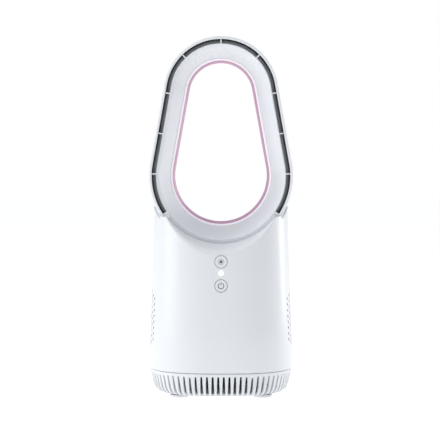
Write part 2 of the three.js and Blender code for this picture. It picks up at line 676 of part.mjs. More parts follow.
/** The plate that closes the base, with sunk screw holes and the posts for the drive board. */
function basePlate() {
  const plate = planSolid([[plateHalf, plateFootZ], [plateHalf, plateTopZ]]);
  const posts = boardPosts.map(([x, y]) => (
    bar(BOARD_POST_RADIUS, plateTopZ - GAP, DRIVE_BOARD_Z - GAP, x, y, 10)));
  const sunk = corners.map(({ x, y }) => bar(
    SCREW_HEAD_RADIUS + GAP,
    0,
    plateFootZ + SCREW_HEAD_HEIGHT + 2 * GAP,
    x * BASE_SCREW_PLACE,
    y * BASE_SCREW_PLACE,
    12,
  ));
  const through = corners.map(({ x, y }) => (
    bar(SCREW_RADIUS + GAP, 0, plateTopZ + GAP, x * BASE_SCREW_PLACE, y * BASE_SCREW_PLACE, 8)));
  return piece('base_plate', cut(join(plate, ...posts), ...sunk, ...through), 0xd9dcdf, 0.6);
}

/** One rubber foot with an eased lower edge. */
function foot({ name, x, y }) {
  const top = GRILLE_FOOT_Z - GAP;
  const ease = 0.8;
  const profile = [[0, 0], [FOOT_RADIUS - ease, 0], [FOOT_RADIUS, ease], [FOOT_RADIUS, top], [0, top]];
  const mesh = piece(`foot_${name}`, turned(profile, 24), 0x3b3d40, 0.9);
  mesh.position.set(x * FOOT_PLACE, y * FOOT_PLACE, 0);
  return mesh;
}

/** A screw that stands on its head. */
function screw(name, length) {
  const profile = [
    [0, 0], [SCREW_HEAD_RADIUS, 0], [SCREW_HEAD_RADIUS, SCREW_HEAD_HEIGHT],
    [SCREW_RADIUS, SCREW_HEAD_HEIGHT], [SCREW_RADIUS, length], [0, length],
  ];
  return piece(name, turned(profile, 8), 0xb8bcc0, 0.3, 0.9);
}

/** The four screws that hold the base plate, under the feet. */
function baseScrew({ name, x, y }) {
  const mesh = screw(`base_screw_${name}`, SCREW_LENGTH);
  mesh.position.set(x * BASE_SCREW_PLACE, y * BASE_SCREW_PLACE, plateFootZ + GAP);
  return mesh;
}

/** The four screws that hold the body on the grille's deck. */
function bodyScrew({ name, x, y }) {
  const mesh = screw(`body_screw_${name}`, SCREW_LENGTH);
  const headTop = deckFootZ - GAP;
  mesh.position.set(x * BODY_SCREW_PLACE, y * BODY_SCREW_PLACE, headTop - SCREW_HEAD_HEIGHT);
  return mesh;
}

// ---- Keys, indicator and control board, in the front panel's frame ----

/** A shape turned about Y, from [radius, depth] points. */
function turnedInward(profile, segments = 20) {
  return welded(new THREE.LatheGeometry(profile.map(([radius, depth]) => point(radius, depth)), segments));
}

const flangeDepth = BODY_WALL + GAP;
const keyBack = flangeDepth + KEY_FLANGE_THICKNESS;
const switchFront = BOARD_DEPTH - GAP - SWITCH_THICKNESS;
const plungerEnd = switchFront + KEY_TRAVEL + GAP;
const KEY_EASE = 0.4;

/** A round key with the flange that keeps it behind the wall. */
function key(name, z) {
  const profile = [
    [0, 0], [KEY_RADIUS - KEY_EASE, 0], [KEY_RADIUS, KEY_EASE], [KEY_RADIUS, flangeDepth],
    [KEY_FLANGE_RADIUS, flangeDepth], [KEY_FLANGE_RADIUS, keyBack], [0, keyBack],
  ];
  const mesh = piece(`${name}_key`, turnedInward(profile), 0xf3f4f6, 0.35);
  mesh.position.z = panelHeight(z);
  return mesh;
}

/** The plunger that a key pushes into its switch. */
function plunger(name, z) {
  const pin = barAlongY(PLUNGER_RADIUS, keyBack + GAP, plungerEnd, 0, 0, 12);
  const mesh = piece(`${name}_key_plunger`, pin, 0x2b2c2e, 0.5);
  mesh.position.z = panelHeight(z);
  return mesh;
}

/** A switch on the control board, with the well that its plunger moves in. */
function keySwitch(name, z) {
  const half = SWITCH_SIDE / 2;
  const housing = block([-half, switchFront, -half], [half, switchFront + SWITCH_THICKNESS, half]);
  const wellEnd = plungerEnd + KEY_TRAVEL + GAP;
  const well = barAlongY(PLUNGER_RADIUS + GAP, switchFront - 1, wellEnd, 0, 0, 12);
  const mesh = piece(`${name}_key_switch`, cut(housing, well), 0x8b8e92, 0.5);
  mesh.position.z = panelHeight(z);
  return mesh;
}

/** The indicator's lens, flush with the wall. */
function indicatorLens() {
  const back = BODY_WALL + 1.5;
  const profile = [
    [0, 0], [INDICATOR_RADIUS - KEY_EASE, 0], [INDICATOR_RADIUS, KEY_EASE],
    [INDICATOR_RADIUS, back], [0, back],
  ];
  return piece('indicator_lens', turnedInward(profile, 20), 0xffffff, 0.15);
}

/** The lamp behind the indicator's lens. */
function indicatorLamp() {
  const side = 1.8;
  const front = BOARD_DEPTH - GAP - side;
  const lamp = block([-side, front, -side / 2], [side, front + side, side / 2]);
  return piece('indicator_lamp', lamp, 0xfff6d8, 0.3);
}

/** The control board behind the keys. */
function controlBoard() {
  const rear = BOARD_DEPTH + BOARD_THICKNESS;
  const low = [-BOARD_WIDTH / 2, BOARD_DEPTH, -BOARD_HEIGHT / 2];
  const board = block(low, [BOARD_WIDTH / 2, rear, BOARD_HEIGHT / 2 - 1]);
  const chip = block(
    [-BOARD_WIDTH / 8, rear - GAP, -BOARD_HEIGHT * 0.26],
    [BOARD_WIDTH / 8, rear + BOARD_THICKNESS, -BOARD_HEIGHT * 0.1],
  );
  const plug = block(
    [-BOARD_WIDTH * 0.16, rear - GAP, -BOARD_HEIGHT / 2 + 1],
    [BOARD_WIDTH * 0.16, rear + PLUG_HEIGHT, -BOARD_HEIGHT / 2 + 1 + PLUG_HEIGHT],
  );
  const hole = (x) => barAlongY(SCREW_RADIUS + GAP, BOARD_DEPTH - GAP, rear + GAP, x, 0, 8);
  const holed = cut(join(board, chip, plug), hole(-BOARD_SCREW_X), hole(BOARD_SCREW_X));
  return piece('control_board', holed, 0x2f6b46, 0.5);
}

/** One of the two screws that hold the control board. */
function boardScrew(name, x) {
  const length = 7;
  const mesh = screw(name, length);
  mesh.position.set(x, BOARD_DEPTH + BOARD_THICKNESS + GAP + SCREW_HEAD_HEIGHT, 0);
  mesh.rotation.x = Math.PI / 2;
  return mesh;
}

panel.add(
  key('light', LIGHT_KEY_Z),
  key('power', POWER_KEY_Z),
  plunger('light', LIGHT_KEY_Z),
  plunger('power', POWER_KEY_Z),
  keySwitch('light', LIGHT_KEY_Z),
  keySwitch('power', POWER_KEY_Z),
  indicatorLens(),
  indicatorLamp(),
  controlBoard(),
  boardScrew('board_screw_left', -BOARD_SCREW_X),
  boardScrew('board_screw_right', BOARD_SCREW_X),
);

// ---- Inlet socket and drive board ----

/** The low-voltage socket, flush with the rear wall, with its centre pin. */
function inletSocket() {
  const rear = bodyHalf(INLET_Z + INLET_RADIUS);
  const front = rear - INLET_LENGTH;
  const flangeRear = rear - BODY_WALL - 2 * GAP;
  const flangeRadius = INLET_RADIUS + 2;
  const boreFloor = front + 4;
  const profile = [
    [0, front], [INLET_RADIUS, front], [INLET_RADIUS, flangeRear - 1.5], [flangeRadius, flangeRear - 1.5],
    [flangeRadius, flangeRear], [INLET_RADIUS, flangeRear], [INLET_RADIUS, rear], [INLET_BORE_RADIUS, rear],
    [INLET_BORE_RADIUS, boreFloor], [INLET_PIN_RADIUS, boreFloor],
    [INLET_PIN_RADIUS, rear - 1], [0, rear - 1],
  ];
  const mesh = piece('inlet_socket', turnedInward(profile, 20), 0x232426, 0.45);
  mesh.position.z = INLET_Z;
  return mesh;
}

const boardTop = DRIVE_BOARD_Z + BOARD_THICKNESS;

// The drive board's three plugs as shares of its half width and half depth: low corner, then high corner.
const controlPlug = [-0.77, -0.8, -0.46, -0.55];
const motorPlug = [0.62, -0.8, 0.81, -0.4];
const inletPlug = [-0.15, 0.7, 0.23, 0.95];

function plugBlock([lowX, lowY, highX, highY], top) {
  const [halfWidth, halfDepth] = [DRIVE_BOARD_WIDTH / 2, DRIVE_BOARD_DEPTH / 2];
  return block(
    [lowX * halfWidth, lowY * halfDepth, top - GAP],
    [highX * halfWidth, highY * halfDepth, top + PLUG_HEIGHT],
  );
}

/** The start of a lead, just above the middle of its plug. */
function plugTop([lowX, lowY, highX, highY]) {
  const [halfWidth, halfDepth] = [DRIVE_BOARD_WIDTH / 2, DRIVE_BOARD_DEPTH / 2];
  return [((lowX + highX) / 2) * halfWidth, ((lowY + highY) / 2) * halfDepth, boardTop + PLUG_HEIGHT + 1];
}

/** The drive board on the base plate, with its tallest parts. */
function driveBoard() {
  const top = DRIVE_BOARD_Z + BOARD_THICKNESS;
  const [halfWidth, halfDepth] = [DRIVE_BOARD_WIDTH / 2, DRIVE_BOARD_DEPTH / 2];
  const board = block([-halfWidth, -halfDepth, DRIVE_BOARD_Z], [halfWidth, halfDepth, top]);
  const [foot, chipTop] = [top - GAP, top + BOARD_THICKNESS];
  const parts = [
    bar(CAPACITOR_RADIUS, foot, top + CAPACITOR_HEIGHT, -halfWidth * 0.54, halfDepth * 0.4, 14),
    bar(CAPACITOR_RADIUS * 0.75, foot, top + CAPACITOR_HEIGHT * 0.8, -halfWidth * 0.2, halfDepth * 0.5, 12),
    block([halfWidth * 0.15, -halfDepth * 0.3, foot], [halfWidth * 0.46, halfDepth * 0.1, chipTop]),
    plugBlock(controlPlug, top),
    plugBlock(motorPlug, top),
    plugBlock(inletPlug, top),
  ];
  return piece('drive_board', join(board, ...parts), 0x2f6b46, 0.5);
}

// ---- Housing, impeller and motor ----

/** The housing's inner wall as [radius, height] points, from the mouth to the neck. */
const housingInside = [
  [HOUSING_MOUTH_RADIUS + 3, HOUSING_MOUTH_Z], [HOUSING_MOUTH_RADIUS, HOUSING_MOUTH_Z + 4],
  [HOUSING_WIDE_RADIUS, HOUSING_WIDE_Z], [HOUSING_WIDE_RADIUS, HOUSING_SHOULDER_Z],
  [NECK_RADIUS - HOUSING_WALL, NECK_Z], [NECK_RADIUS - HOUSING_WALL, NECK_TOP_Z],
];

/** The housing's inner radius beside the impeller. */
function housingRadius(z) {
  const share = (z - HOUSING_MOUTH_Z - 4) / (HOUSING_WIDE_Z - HOUSING_MOUTH_Z - 4);
  return HOUSING_MOUTH_RADIUS + (HOUSING_WIDE_RADIUS - HOUSING_MOUTH_RADIUS) * share;
}

const leadHeight = (HOUSING_WIDE_Z + HOUSING_SHOULDER_Z) / 2;

/** The housing that guides the air past the impeller and up the neck, on four legs. */
function impellerHousing() {
  const outside = housingInside.map(([radius, z]) => [radius + HOUSING_WALL, z]).reverse();
  const profile = [...housingInside, ...outside, housingInside[0]];
  const legs = corners.map(({ x, y }) => (
    bar(LEG_RADIUS, deckTopZ + GAP, HOUSING_SHOULDER_Z - LEG_RADIUS, x * LEG_PLACE, y * LEG_PLACE, 10)));
  const leadHole = bar(LEAD_RADIUS + 3 * GAP, 0, HOUSING_WIDE_RADIUS, 0, 0, 8).rotateY(Math.PI / 2);
  const whole = cut(join(turned(profile, 32), ...legs), leadHole.translate(POD_RADIUS, 0, leadHeight));
  return piece('impeller_housing', whole, 0xd5d8db, 0.55);
}

/** The pod that holds the motor in the housing, with its straightening vanes. */
function motorPod() {
  const inner = MOTOR_RADIUS + GAP;
  const ceiling = MOTOR_FOOT_Z + MOTOR_HEIGHT + GAP;
  const shoulder = ceiling - 1;
  const profile = [
    [inner, POD_FOOT_Z], [POD_RADIUS, POD_FOOT_Z], [POD_RADIUS, shoulder],
    [POD_RADIUS * 0.8, shoulder + (POD_TOP_Z - shoulder) * 0.6], [POD_RADIUS * 0.4, POD_TOP_Z - 0.8],
    [0, POD_TOP_Z], [0, ceiling], [inner, ceiling], [inner, POD_FOOT_Z],
  ];
  const vanes = Array.from({ length: VANE_COUNT }, (_, vane) => {
    const low = [POD_RADIUS - 1, -VANE_THICKNESS / 2, POD_FOOT_Z + 4];
    const plate = block(low, [HOUSING_WIDE_RADIUS - GAP, VANE_THICKNESS / 2, HOUSING_SHOULDER_Z - 3]);
    return plate.rotateZ((2 * Math.PI * (vane + 0.5)) / VANE_COUNT);
  });
  const leadHole = bar(LEAD_RADIUS + GAP, 0, POD_RADIUS, 0, 0, 8).rotateY(Math.PI / 2);
  const pod = cut(join(turned(profile), ...vanes), leadHole.translate(inner - 2, 0, leadHeight));
  return piece('motor_pod', pod, 0xc9cdd1, 0.55);
}

/** The hub's radius at a height. */
function hubRadius(z) {
  const share = (z - IMPELLER_FOOT_Z) / (IMPELLER_TOP_Z - IMPELLER_FOOT_Z);
  return HUB_FOOT_RADIUS + (HUB_TOP_RADIUS - HUB_FOOT_RADIUS) * share;
}

const BLADE_STATIONS = 5;
const BLADE_ROOT = 1.6;        // how far a blade reaches into the hub

/** One swept blade, from inside the hub out to the housing. */
function blade(start) {
  const ease = 0.6;
  const rings = Array.from({ length: BLADE_STATIONS }, (_, station) => {
    const share = station / (BLADE_STATIONS - 1);
    const z = IMPELLER_FOOT_Z + ease + (IMPELLER_TOP_Z - IMPELLER_FOOT_Z - 2 * ease) * share;
    const angle = start + BLADE_SWEEP * share;
    const reach = [hubRadius(z) - BLADE_ROOT, housingRadius(z) - BLADE_GAP];
    const sides = [[reach[0], -1], [reach[1], -1], [reach[1], 1], [reach[0], 1]];
    return sides.map(([radius, side]) => {
      const { x, y } = polar(radius, angle + (side * BLADE_THICKNESS) / 2 / radius);
      return new THREE.Vector3(x, y, z);
    });
  });
  return skin(rings, false, [2]);
}

/** The impeller: a conical hub with swept blades. */
function impeller() {
  const bore = SHAFT_RADIUS + GAP;
  const hub = turned([
    [bore, IMPELLER_FOOT_Z], [HUB_FOOT_RADIUS, IMPELLER_FOOT_Z], [HUB_TOP_RADIUS, IMPELLER_TOP_Z],
    [bore, IMPELLER_TOP_Z], [bore, IMPELLER_FOOT_Z],
  ], 4 * BLADE_COUNT);
  const pitch = (2 * Math.PI) / BLADE_COUNT;
  const blades = Array.from({ length: BLADE_COUNT }, (_, place) => blade(pitch * (place + 0.13)));
  return piece('impeller', join(hub, ...blades), 0x9aa0a6, 0.5);
}

const NUT_HEIGHT = 3.6;
const CAP_THICKNESS = 2;
const motorTopZ = MOTOR_FOOT_Z + MOTOR_HEIGHT;

/** The motor's parts on the axis: can, winding, rotor, shaft, bushes and the impeller's nut. */
function motorParts() {
  const bore = SHAFT_RADIUS + GAP;
  const bushHole = BUSH_RADIUS + GAP;
  const canInner = MOTOR_RADIUS - CAP_THICKNESS;
  const [canFloor, canCeiling] = [MOTOR_FOOT_Z + CAP_THICKNESS, motorTopZ - CAP_THICKNESS];
  const can = turned([
    [bushHole, MOTOR_FOOT_Z], [MOTOR_RADIUS, MOTOR_FOOT_Z], [MOTOR_RADIUS, motorTopZ], [bushHole, motorTopZ],
    [bushHole, canCeiling], [canInner, canCeiling], [canInner, canFloor], [bushHole, canFloor],
    [bushHole, MOTOR_FOOT_Z],
  ]);
  const windingInner = canInner - 5;
  const winding = ringBlock(windingInner, canInner - GAP, canFloor + 2, canCeiling - 2);
  const rotor = ringBlock(bore, windingInner - 1, canFloor + 3, canCeiling - 3, 24);
  const nutFoot = IMPELLER_FOOT_Z - GAP - NUT_HEIGHT;
  return [
    piece('motor_can', can, 0xa9adb1, 0.3, 0.9),
    piece('motor_winding', winding, 0xb4692f, 0.4, 0.8),
    piece('motor_rotor', rotor, 0x6e7276, 0.4, 0.8),
    piece('motor_shaft', bar(SHAFT_RADIUS, nutFoot - 1, motorTopZ - GAP, 0, 0, 12), 0xc9ccd0, 0.2, 1),
    piece('lower_bush', ringBlock(bore, BUSH_RADIUS, MOTOR_FOOT_Z, canFloor, 20), 0xb08a4a, 0.4, 0.8),
    piece('upper_bush', ringBlock(bore, BUSH_RADIUS, canCeiling, motorTopZ, 20), 0xb08a4a, 0.4, 0.8),
    piece('impeller_nut', ringBlock(bore, bore + 2, nutFoot, nutFoot + NUT_HEIGHT, 6), 0xc9ccd0, 0.3, 1),
  ];
}

/** The rubber seal round the neck, under the saddle. */
function neckSeal() {
  const top = LOWER_Z - seatRadius - BODY_WALL - GAP;
  const inner = NECK_RADIUS + GAP;
  return piece('neck_seal', ringBlock(inner, inner + SEAL_WIDTH, NECK_Z + 2, top), 0x4a4c4f, 0.9);
}

const LEAD_SIDES = 5;

/** A lead clipped between two places, along a smooth route of [x, y, z] points. */
function lead(name, route, colour) {
  const path = new THREE.CatmullRomCurve3(route.map(([x, y, z]) => new THREE.Vector3(x, y, z)));
  const section = new THREE.Shape(Array.from({ length: LEAD_SIDES }, (_, side) => (
    polar(LEAD_RADIUS, (2 * Math.PI * side) / LEAD_SIDES))));
  const steps = 2 * route.length;
  const tube = new THREE.ExtrudeGeometry(section, { steps, extrudePath: path, bevelEnabled: false });
  return piece(name, welded(tube), colour, 0.6);
}

const motorStart = plugTop(motorPlug);
const controlStart = plugTop(controlPlug);
const inletStart = plugTop(inletPlug);
const besideHousing = HOUSING_WIDE_RADIUS + HOUSING_WALL + 8;
const motorLead = lead('motor_lead', [
  motorStart, [HOUSING_WIDE_RADIUS * 0.64, motorStart[1] * 0.67, deckTopZ + 4],
  [HOUSING_WIDE_RADIUS + 1, motorStart[1] / 3, deckTopZ + 16], [besideHousing - 1, 0, HOUSING_MOUTH_Z],
  [besideHousing, 0, HOUSING_WIDE_Z - 2], [besideHousing - 1, 0, leadHeight - 4],
  [besideHousing - 3, 0, leadHeight - 0.8], [besideHousing - 6, 0, leadHeight],
  [HOUSING_WIDE_RADIUS - 1, 0, leadHeight], [MOTOR_RADIUS + 2 * GAP, 0, leadHeight],
], 0xd23c30);
const boardFootZ = INDICATOR_Z - BOARD_HEIGHT / 2;
const controlPlugY = -bodyHalf(boardFootZ) + BOARD_DEPTH + BOARD_THICKNESS + 4;
const controlLead = lead('control_lead', [
  controlStart, [controlStart[0] - 2, controlStart[1] - 10.5, deckTopZ + 2],
  [controlStart[0] + 2, controlStart[1] - 26.5, deckTopZ + 16],
  [controlStart[0] * 0.37, controlPlugY + 2, HOUSING_MOUTH_Z + 4],
  [0, controlPlugY, boardFootZ - 18.5], [0, controlPlugY + 0.5, boardFootZ - 6.5],
], 0xe8e8e8);
const inletLead = lead('inlet_lead', [
  inletStart, [inletStart[0], inletStart[1] + 7.5, deckTopZ], [0, inletStart[1] + 23.5, INLET_Z - 4],
  [0, bodyHalf(INLET_Z) - INLET_LENGTH - 1.5, INLET_Z],
], 0x2a2a2c);

// ---- The whole fan ----

const fan = new THREE.Group();
fan.add(
  bodyShell(),
  loopShroud(),
  loopFunnel(),
  lightRing(),
  ledStrip(),
  baseGrille(),
  basePlate(),
  ...corners.map(foot),
  ...corners.map(baseScrew),
  ...corners.map(bodyScrew),
  panel,
  inletSocket(),
  driveBoard(),
  impellerHousing(),
  motorPod(),
  impeller(),
  ...motorParts(),
  neckSeal(),
  motorLead,
  controlLead,
  inletLead,
);

export default fan;
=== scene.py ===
"""The finish of a bladeless desk fan: body, air loop, light ring, keys and base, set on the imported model."""

import json
import math

import bmesh
import bpy
from mathutils import Matrix, Vector


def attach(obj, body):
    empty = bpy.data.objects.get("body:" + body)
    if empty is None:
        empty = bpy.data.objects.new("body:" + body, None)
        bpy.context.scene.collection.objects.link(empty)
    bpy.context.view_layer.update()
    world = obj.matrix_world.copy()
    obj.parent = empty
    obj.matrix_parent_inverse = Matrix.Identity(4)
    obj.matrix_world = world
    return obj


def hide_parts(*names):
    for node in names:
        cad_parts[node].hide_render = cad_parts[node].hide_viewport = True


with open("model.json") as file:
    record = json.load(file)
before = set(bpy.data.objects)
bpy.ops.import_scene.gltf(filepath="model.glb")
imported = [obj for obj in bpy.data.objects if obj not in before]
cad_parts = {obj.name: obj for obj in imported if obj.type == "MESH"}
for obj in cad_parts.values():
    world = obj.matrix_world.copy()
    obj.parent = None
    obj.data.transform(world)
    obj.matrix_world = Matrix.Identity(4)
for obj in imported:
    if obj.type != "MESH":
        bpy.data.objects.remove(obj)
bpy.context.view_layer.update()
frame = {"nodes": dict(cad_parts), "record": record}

MM = 0.001
CRISP_ANGLE = math.radians(32)

# ---- Camera, worked out from the photograph's perspective ----
PHOTO_SIZE = 440                 # pixels each way
PIXEL = 1.0 * MM                 # what one pixel covers at the fan's axis
AXIS_PIXEL_X = 221.0
CAMERA_DISTANCE = 1.8
CAMERA_HEIGHT = 0.252
SENSOR_WIDTH = 36.0
AIM_HEIGHT = 0.172               # the height at the axis that falls on the photograph's middle row

# ---- Body, in millimetres as in the construction ----
SQUARENESS = 2.6
BODY_FOOT_Z = 26.6
BODY_TOP_Z = 188.0
BODY_FOOT_HALF = 72.0
BODY_TOP_HALF = 65.8
WALL = 2.4
GAP = 0.35
SADDLE_FILLET = 4.5
SADDLE_ROWS = 16
FILLET_ROWS = 8

# ---- Air loop ----
LOWER_RADIUS = 70.6
LOWER_Z = 216.7
UPPER_RADIUS = 56.4
UPPER_Z = 296.9
LOOP_HALF_DEPTH = 39.0
LOOP_WALL = 2.3
RIM_WIDTH = 2.7
SLOT_WIDTH = 4.6
SLOT_DEPTH = 8.0
SLOT_REACH = 200.0
RIB_PITCH = 40.0
THROAT_OFFSET = 24.8
LIGHT_WIDTH = 4.0
LIGHT_FRONT_Y = -8.6
LIGHT_REAR_Y = 0.8
THROAT_SEAM_Y = 12.0
LOOP_STEP = math.radians(2.5)
SIDE_SECTIONS = 8                # steps along each straight side of the loop
SADDLE_COVER = 4.7
SADDLE_FLARE = 7.5
SADDLE_BEND = 2.8
FUNNEL_BOW = 1.2
STRIP_THICKNESS = 1.4
RIB_THICKNESS = 1.2
NECK_HOLE = 24.7
NOZZLE_OUTER = RIM_WIDTH + 0.9   # the slot's floor slopes out to here and leaves a narrow gap for the air
NOZZLE_DEPTH = 8.0
NECK_TOP_Z = 150.0
FUNNEL_STEPS = 14
RING_TUCK = 0.25                 # how far the light ring reaches into the gap round it, just below its front
RING_RIM = 1.6                   # width of the ring's rim, painted pale and glowing as a highlight

# ---- Keys and indicator ----
LIGHT_KEY_Z = 134.6
POWER_KEY_Z = 111.4
INDICATOR_Z = 123.6
KEY_RADIUS = 5.9
KEY_GAP = 0.45
INDICATOR_RADIUS = 2.4
INLET_Z = 42.0
INLET_HOLE = 5.55
LENS_CLEARANCE = 0.12
KEY_PROFILE = [(0, 0.22), (2.0, 0.2), (4.2, 0.1), (5.2, 0.0), (5.55, 0.03), (5.8, 0.16),
               (KEY_RADIUS, 0.42), (KEY_RADIUS, 2.75), (7.4, 2.75), (7.4, 3.75), (0, 3.75)]
LENS_PROFILE = [(0, 0.0), (1.2, 0.03), (1.9, 0.16), (2.25, 0.4), (INDICATOR_RADIUS, 0.8),
                (INDICATOR_RADIUS, 2.3), (0, 2.3)]
SIGN_FRONT, SIGN_BACK = 0.1, 0.5 # depth of the signs, from the front wall

# ---- Base ----
GRILLE_TOP_HALF = 71.2
GRILLE_TOP_Z = 26.25
GRILLE_FLANK_HALF = 68.2
GRILLE_FLANK_Z = 13.0
GRILLE_TURN = (66.5, 3.6)        # the control point of the curve that turns the flank under
GRILLE_FOOT_HALF = 58.5
GRILLE_FOOT_Z = 3.0
GRILLE_SLOTS = 80
GRILLE_SLOT_TOP_Z = 23.2
GRILLE_SLOT_TOP = 1.8
GRILLE_SLOT_FOOT = 3.4
GRILLE_SLOT_INNER = 60.5
GRILLE_COLUMNS = 240
GRILLE_TURN_STEPS = 14
GRILLE_INSIDE = [(57.5, GRILLE_FOOT_Z), (57.5, 5.2), (60.0, 5.2), (64.0, 8.0), (66.4, 14.0),
                 (69.0, 23.65), (50.0, 23.65), (50.0, GRILLE_TOP_Z)]
SLOT_ROUND_STEPS = 8             # steps of the rounded upper end of a slot
SLOT_PLACE_HALF = 68.0           # half width of the plan on which the slots are spaced
SLOT_CUT_REACH = 80.0
FOOT_PLACE = 41.0
FOOT_PROFILE = [(0, 0.0), (7.9, 0.0), (8.5, 0.15), (8.85, 0.5), (9.0, 1.0), (9.0, 2.65), (0, 2.65)]

# ---- Intake holes ----
HOLE_RADIUS = 1.45
HOLE_WIDENING = 1.3              # the holes are a little wider than high
HOLE_COLUMNS = 11
HOLES_IN_MIDDLE = 13
HOLE_PITCH_Z = 5.74
HOLE_PITCH_Y = 6.6
HOLES_Z = 76.0


# ---- Mesh helpers: shapes are laid out in millimetres and stored in metres ----

def object_from(name, points, faces):
    """A mesh object from points in millimetres, with its faces turned outwards."""
    mesh = bpy.data.meshes.new(name)
    mesh.from_pydata([Vector(place) * MM for place in points], [], faces)
    shape = bmesh.new()
    shape.from_mesh(mesh)
    bmesh.ops.remove_doubles(shape, verts=shape.verts, dist=1e-7)
    bmesh.ops.recalc_face_normals(shape, faces=shape.faces)
    shape.to_mesh(mesh)
    shape.free()
    mesh.validate()
    made = bpy.data.objects.new(name, mesh)
    bpy.context.scene.collection.objects.link(made)
    return made


def grid_faces(rows, columns, rows_close=False, columns_close=True):
    """The faces of a grid of points stored row by row."""
    faces = []
    for row in range(rows if rows_close else rows - 1):
        above = (row + 1) % rows
        for column in range(columns if columns_close else columns - 1):
            beside = (column + 1) % columns
            faces.append((row * columns + column, row * columns + beside,
                          above * columns + beside, above * columns + column))
    return faces


def band(name, rings):
    """A ring-shaped skin through equal sections; the last section joins the first."""
    points = [place for ring in rings for place in ring]
    return object_from(name, points, grid_faces(len(rings), len(rings[0]), True))


def turned(profile, segments, axis="Z", centre=(0, 0, 0)):
    """Points and faces of [radius, height] points turned about an axis; ends on the axis close the shape."""
    points = []
    for step in range(segments):
        angle = 2 * math.pi * step / segments
        for radius, height in profile:
            across, along = radius * math.cos(angle), radius * math.sin(angle)
            place = (across, along, height) if axis == "Z" else (across, height, along)
            points.append(tuple(value + offset for value, offset in zip(place, centre)))
    return points, grid_faces(segments, len(profile), True, False)


def evaluated(piece):
    """The piece with its modifiers made into plain mesh."""
    bpy.context.view_layer.update()
    graph = bpy.context.evaluated_depsgraph_get()
    mesh = bpy.data.meshes.new_from_object(piece.evaluated_get(graph))
    piece.modifiers.clear()
    old = piece.data
    piece.data = mesh
    bpy.data.meshes.remove(old)
    return piece


def bored(piece, *tools):
    """The piece with other shapes cut out of it."""
    for tool in tools:
        cutter = piece.modifiers.new("bore", "BOOLEAN")
        cutter.operation = "DIFFERENCE"
        cutter.solver = "EXACT"
        cutter.object = tool
    evaluated(piece)
    for tool in tools:
        bpy.data.objects.remove(tool)
    return piece


def smooth(piece):
    """Smooth shading with crisp edges where faces meet at more than CRISP_ANGLE."""
    for face in piece.data.polygons:
        face.use_smooth = True
    shape = bmesh.new()
    shape.from_mesh(piece.data)
    for edge in shape.edges:
        edge.smooth = len(edge.link_faces) == 2 and edge.calc_face_angle(0) < CRISP_ANGLE
    shape.to_mesh(piece.data)
    shape.free()


# ---- The body's shape ----

BODY_TAPER = (BODY_FOOT_HALF - BODY_TOP_HALF) / (BODY_TOP_Z - BODY_FOOT_Z)
SEAT_HALF = LOOP_HALF_DEPTH + GAP
SEAT_RADIUS = LOWER_RADIUS + GAP
LIP_RADIUS = LOWER_RADIUS - SADDLE_COVER
SADDLE_FRONT = BODY_FOOT_HALF - BODY_TAPER * (LOWER_Z - LOWER_RADIUS - BODY_FOOT_Z)
WALL_LEAN = math.atan(BODY_TAPER)
SIDE_COLUMNS = 56
LIP_COLUMNS = 132
FOOT_EASE = 0.6
CREST_EASE = 0.35                # the fillet where the body's side meets the loop


def body_half(z):
    """Half the body's width at a height."""
    return BODY_FOOT_HALF - BODY_TAPER * (z - BODY_FOOT_Z)


def plan_reach(angle):
    """How far the plan's edge is from the axis, for a half width of one."""
    return (abs(math.cos(angle)) ** SQUARENESS + abs(math.sin(angle)) ** SQUARENESS) ** (-1 / SQUARENESS)


def on_wall(angle, z, inset=0.0):
    """A point on the body's side, or a little inside it."""
    reach = (body_half(z) - inset) * plan_reach(angle)
    return (reach * math.cos(angle), reach * math.sin(angle), z)


def saddle_radius(depth):
    """The saddle's radius about the loop's lower axis, at a distance from the body's axis."""
    share = max(0.0, (depth - SEAT_HALF) / (SADDLE_FRONT - SEAT_HALF))
    return LIP_RADIUS + SADDLE_FLARE * share ** SADDLE_BEND


def on_saddle(turn, y, radius):
    """A point on a circle about the loop's lower axis; turn is measured from straight down."""
    return (radius * math.sin(turn), y, LOWER_Z - radius * math.cos(turn))


def bisected(test, low, high):
    """Where a test goes from true to false between two values."""
    for _ in range(40):
        middle = (low + high) / 2
        low, high = (middle, high) if test(middle) else (low, middle)
    return (low + high) / 2


def seat_corner():
    """The plan angle and height where the seat's front edge reaches the body's side."""
    z = BODY_TOP_Z - 10
    for _ in range(12):
        angle = bisected(lambda turn: on_wall(turn, z)[1] < SEAT_HALF, 0.1, math.pi / 4)
        x = on_wall(angle, z)[0]
        z = LOWER_Z - math.sqrt(SEAT_RADIUS ** 2 - x ** 2)
    return angle, z


CORNER_ANGLE, CORNER_Z = seat_corner()
CORNER_TURN = math.acos((LOWER_Z - CORNER_Z) / LIP_RADIUS)


def crest_z(angle):
    """The height at which one column of the body's side ends."""
    def outside(z):
        x, y, _ = on_wall(angle, z)
        on_side = abs(math.sin(angle)) <= math.sin(CORNER_ANGLE) + 1e-9
        radius = SEAT_RADIUS if on_side else saddle_radius(abs(y))
        return math.hypot(x, LOWER_Z - z) > radius
    top = BODY_TOP_Z if abs(math.sin(angle)) < math.sin(CORNER_ANGLE) - 1e-9 else CORNER_Z
    return top if outside(top) else bisected(outside, BODY_FOOT_Z, top)


def resampled(path, start, count):
    """Points at equal distances along a path, from a distance after its start to its end."""
    lengths = [0.0]
    for here, there in zip(path, path[1:]):
        lengths.append(lengths[-1] + math.dist(here, there))
    places = []
    for step in range(count):
        goal = start + (lengths[-1] - start) * step / (count - 1)
        leg = max(index for index in range(len(path) - 1) if lengths[index] <= goal + 1e-12)
        share = (goal - lengths[leg]) / max(lengths[leg + 1] - lengths[leg], 1e-9)
        places.append(Vector(path[leg]).lerp(Vector(path[leg + 1]), share))
    return places


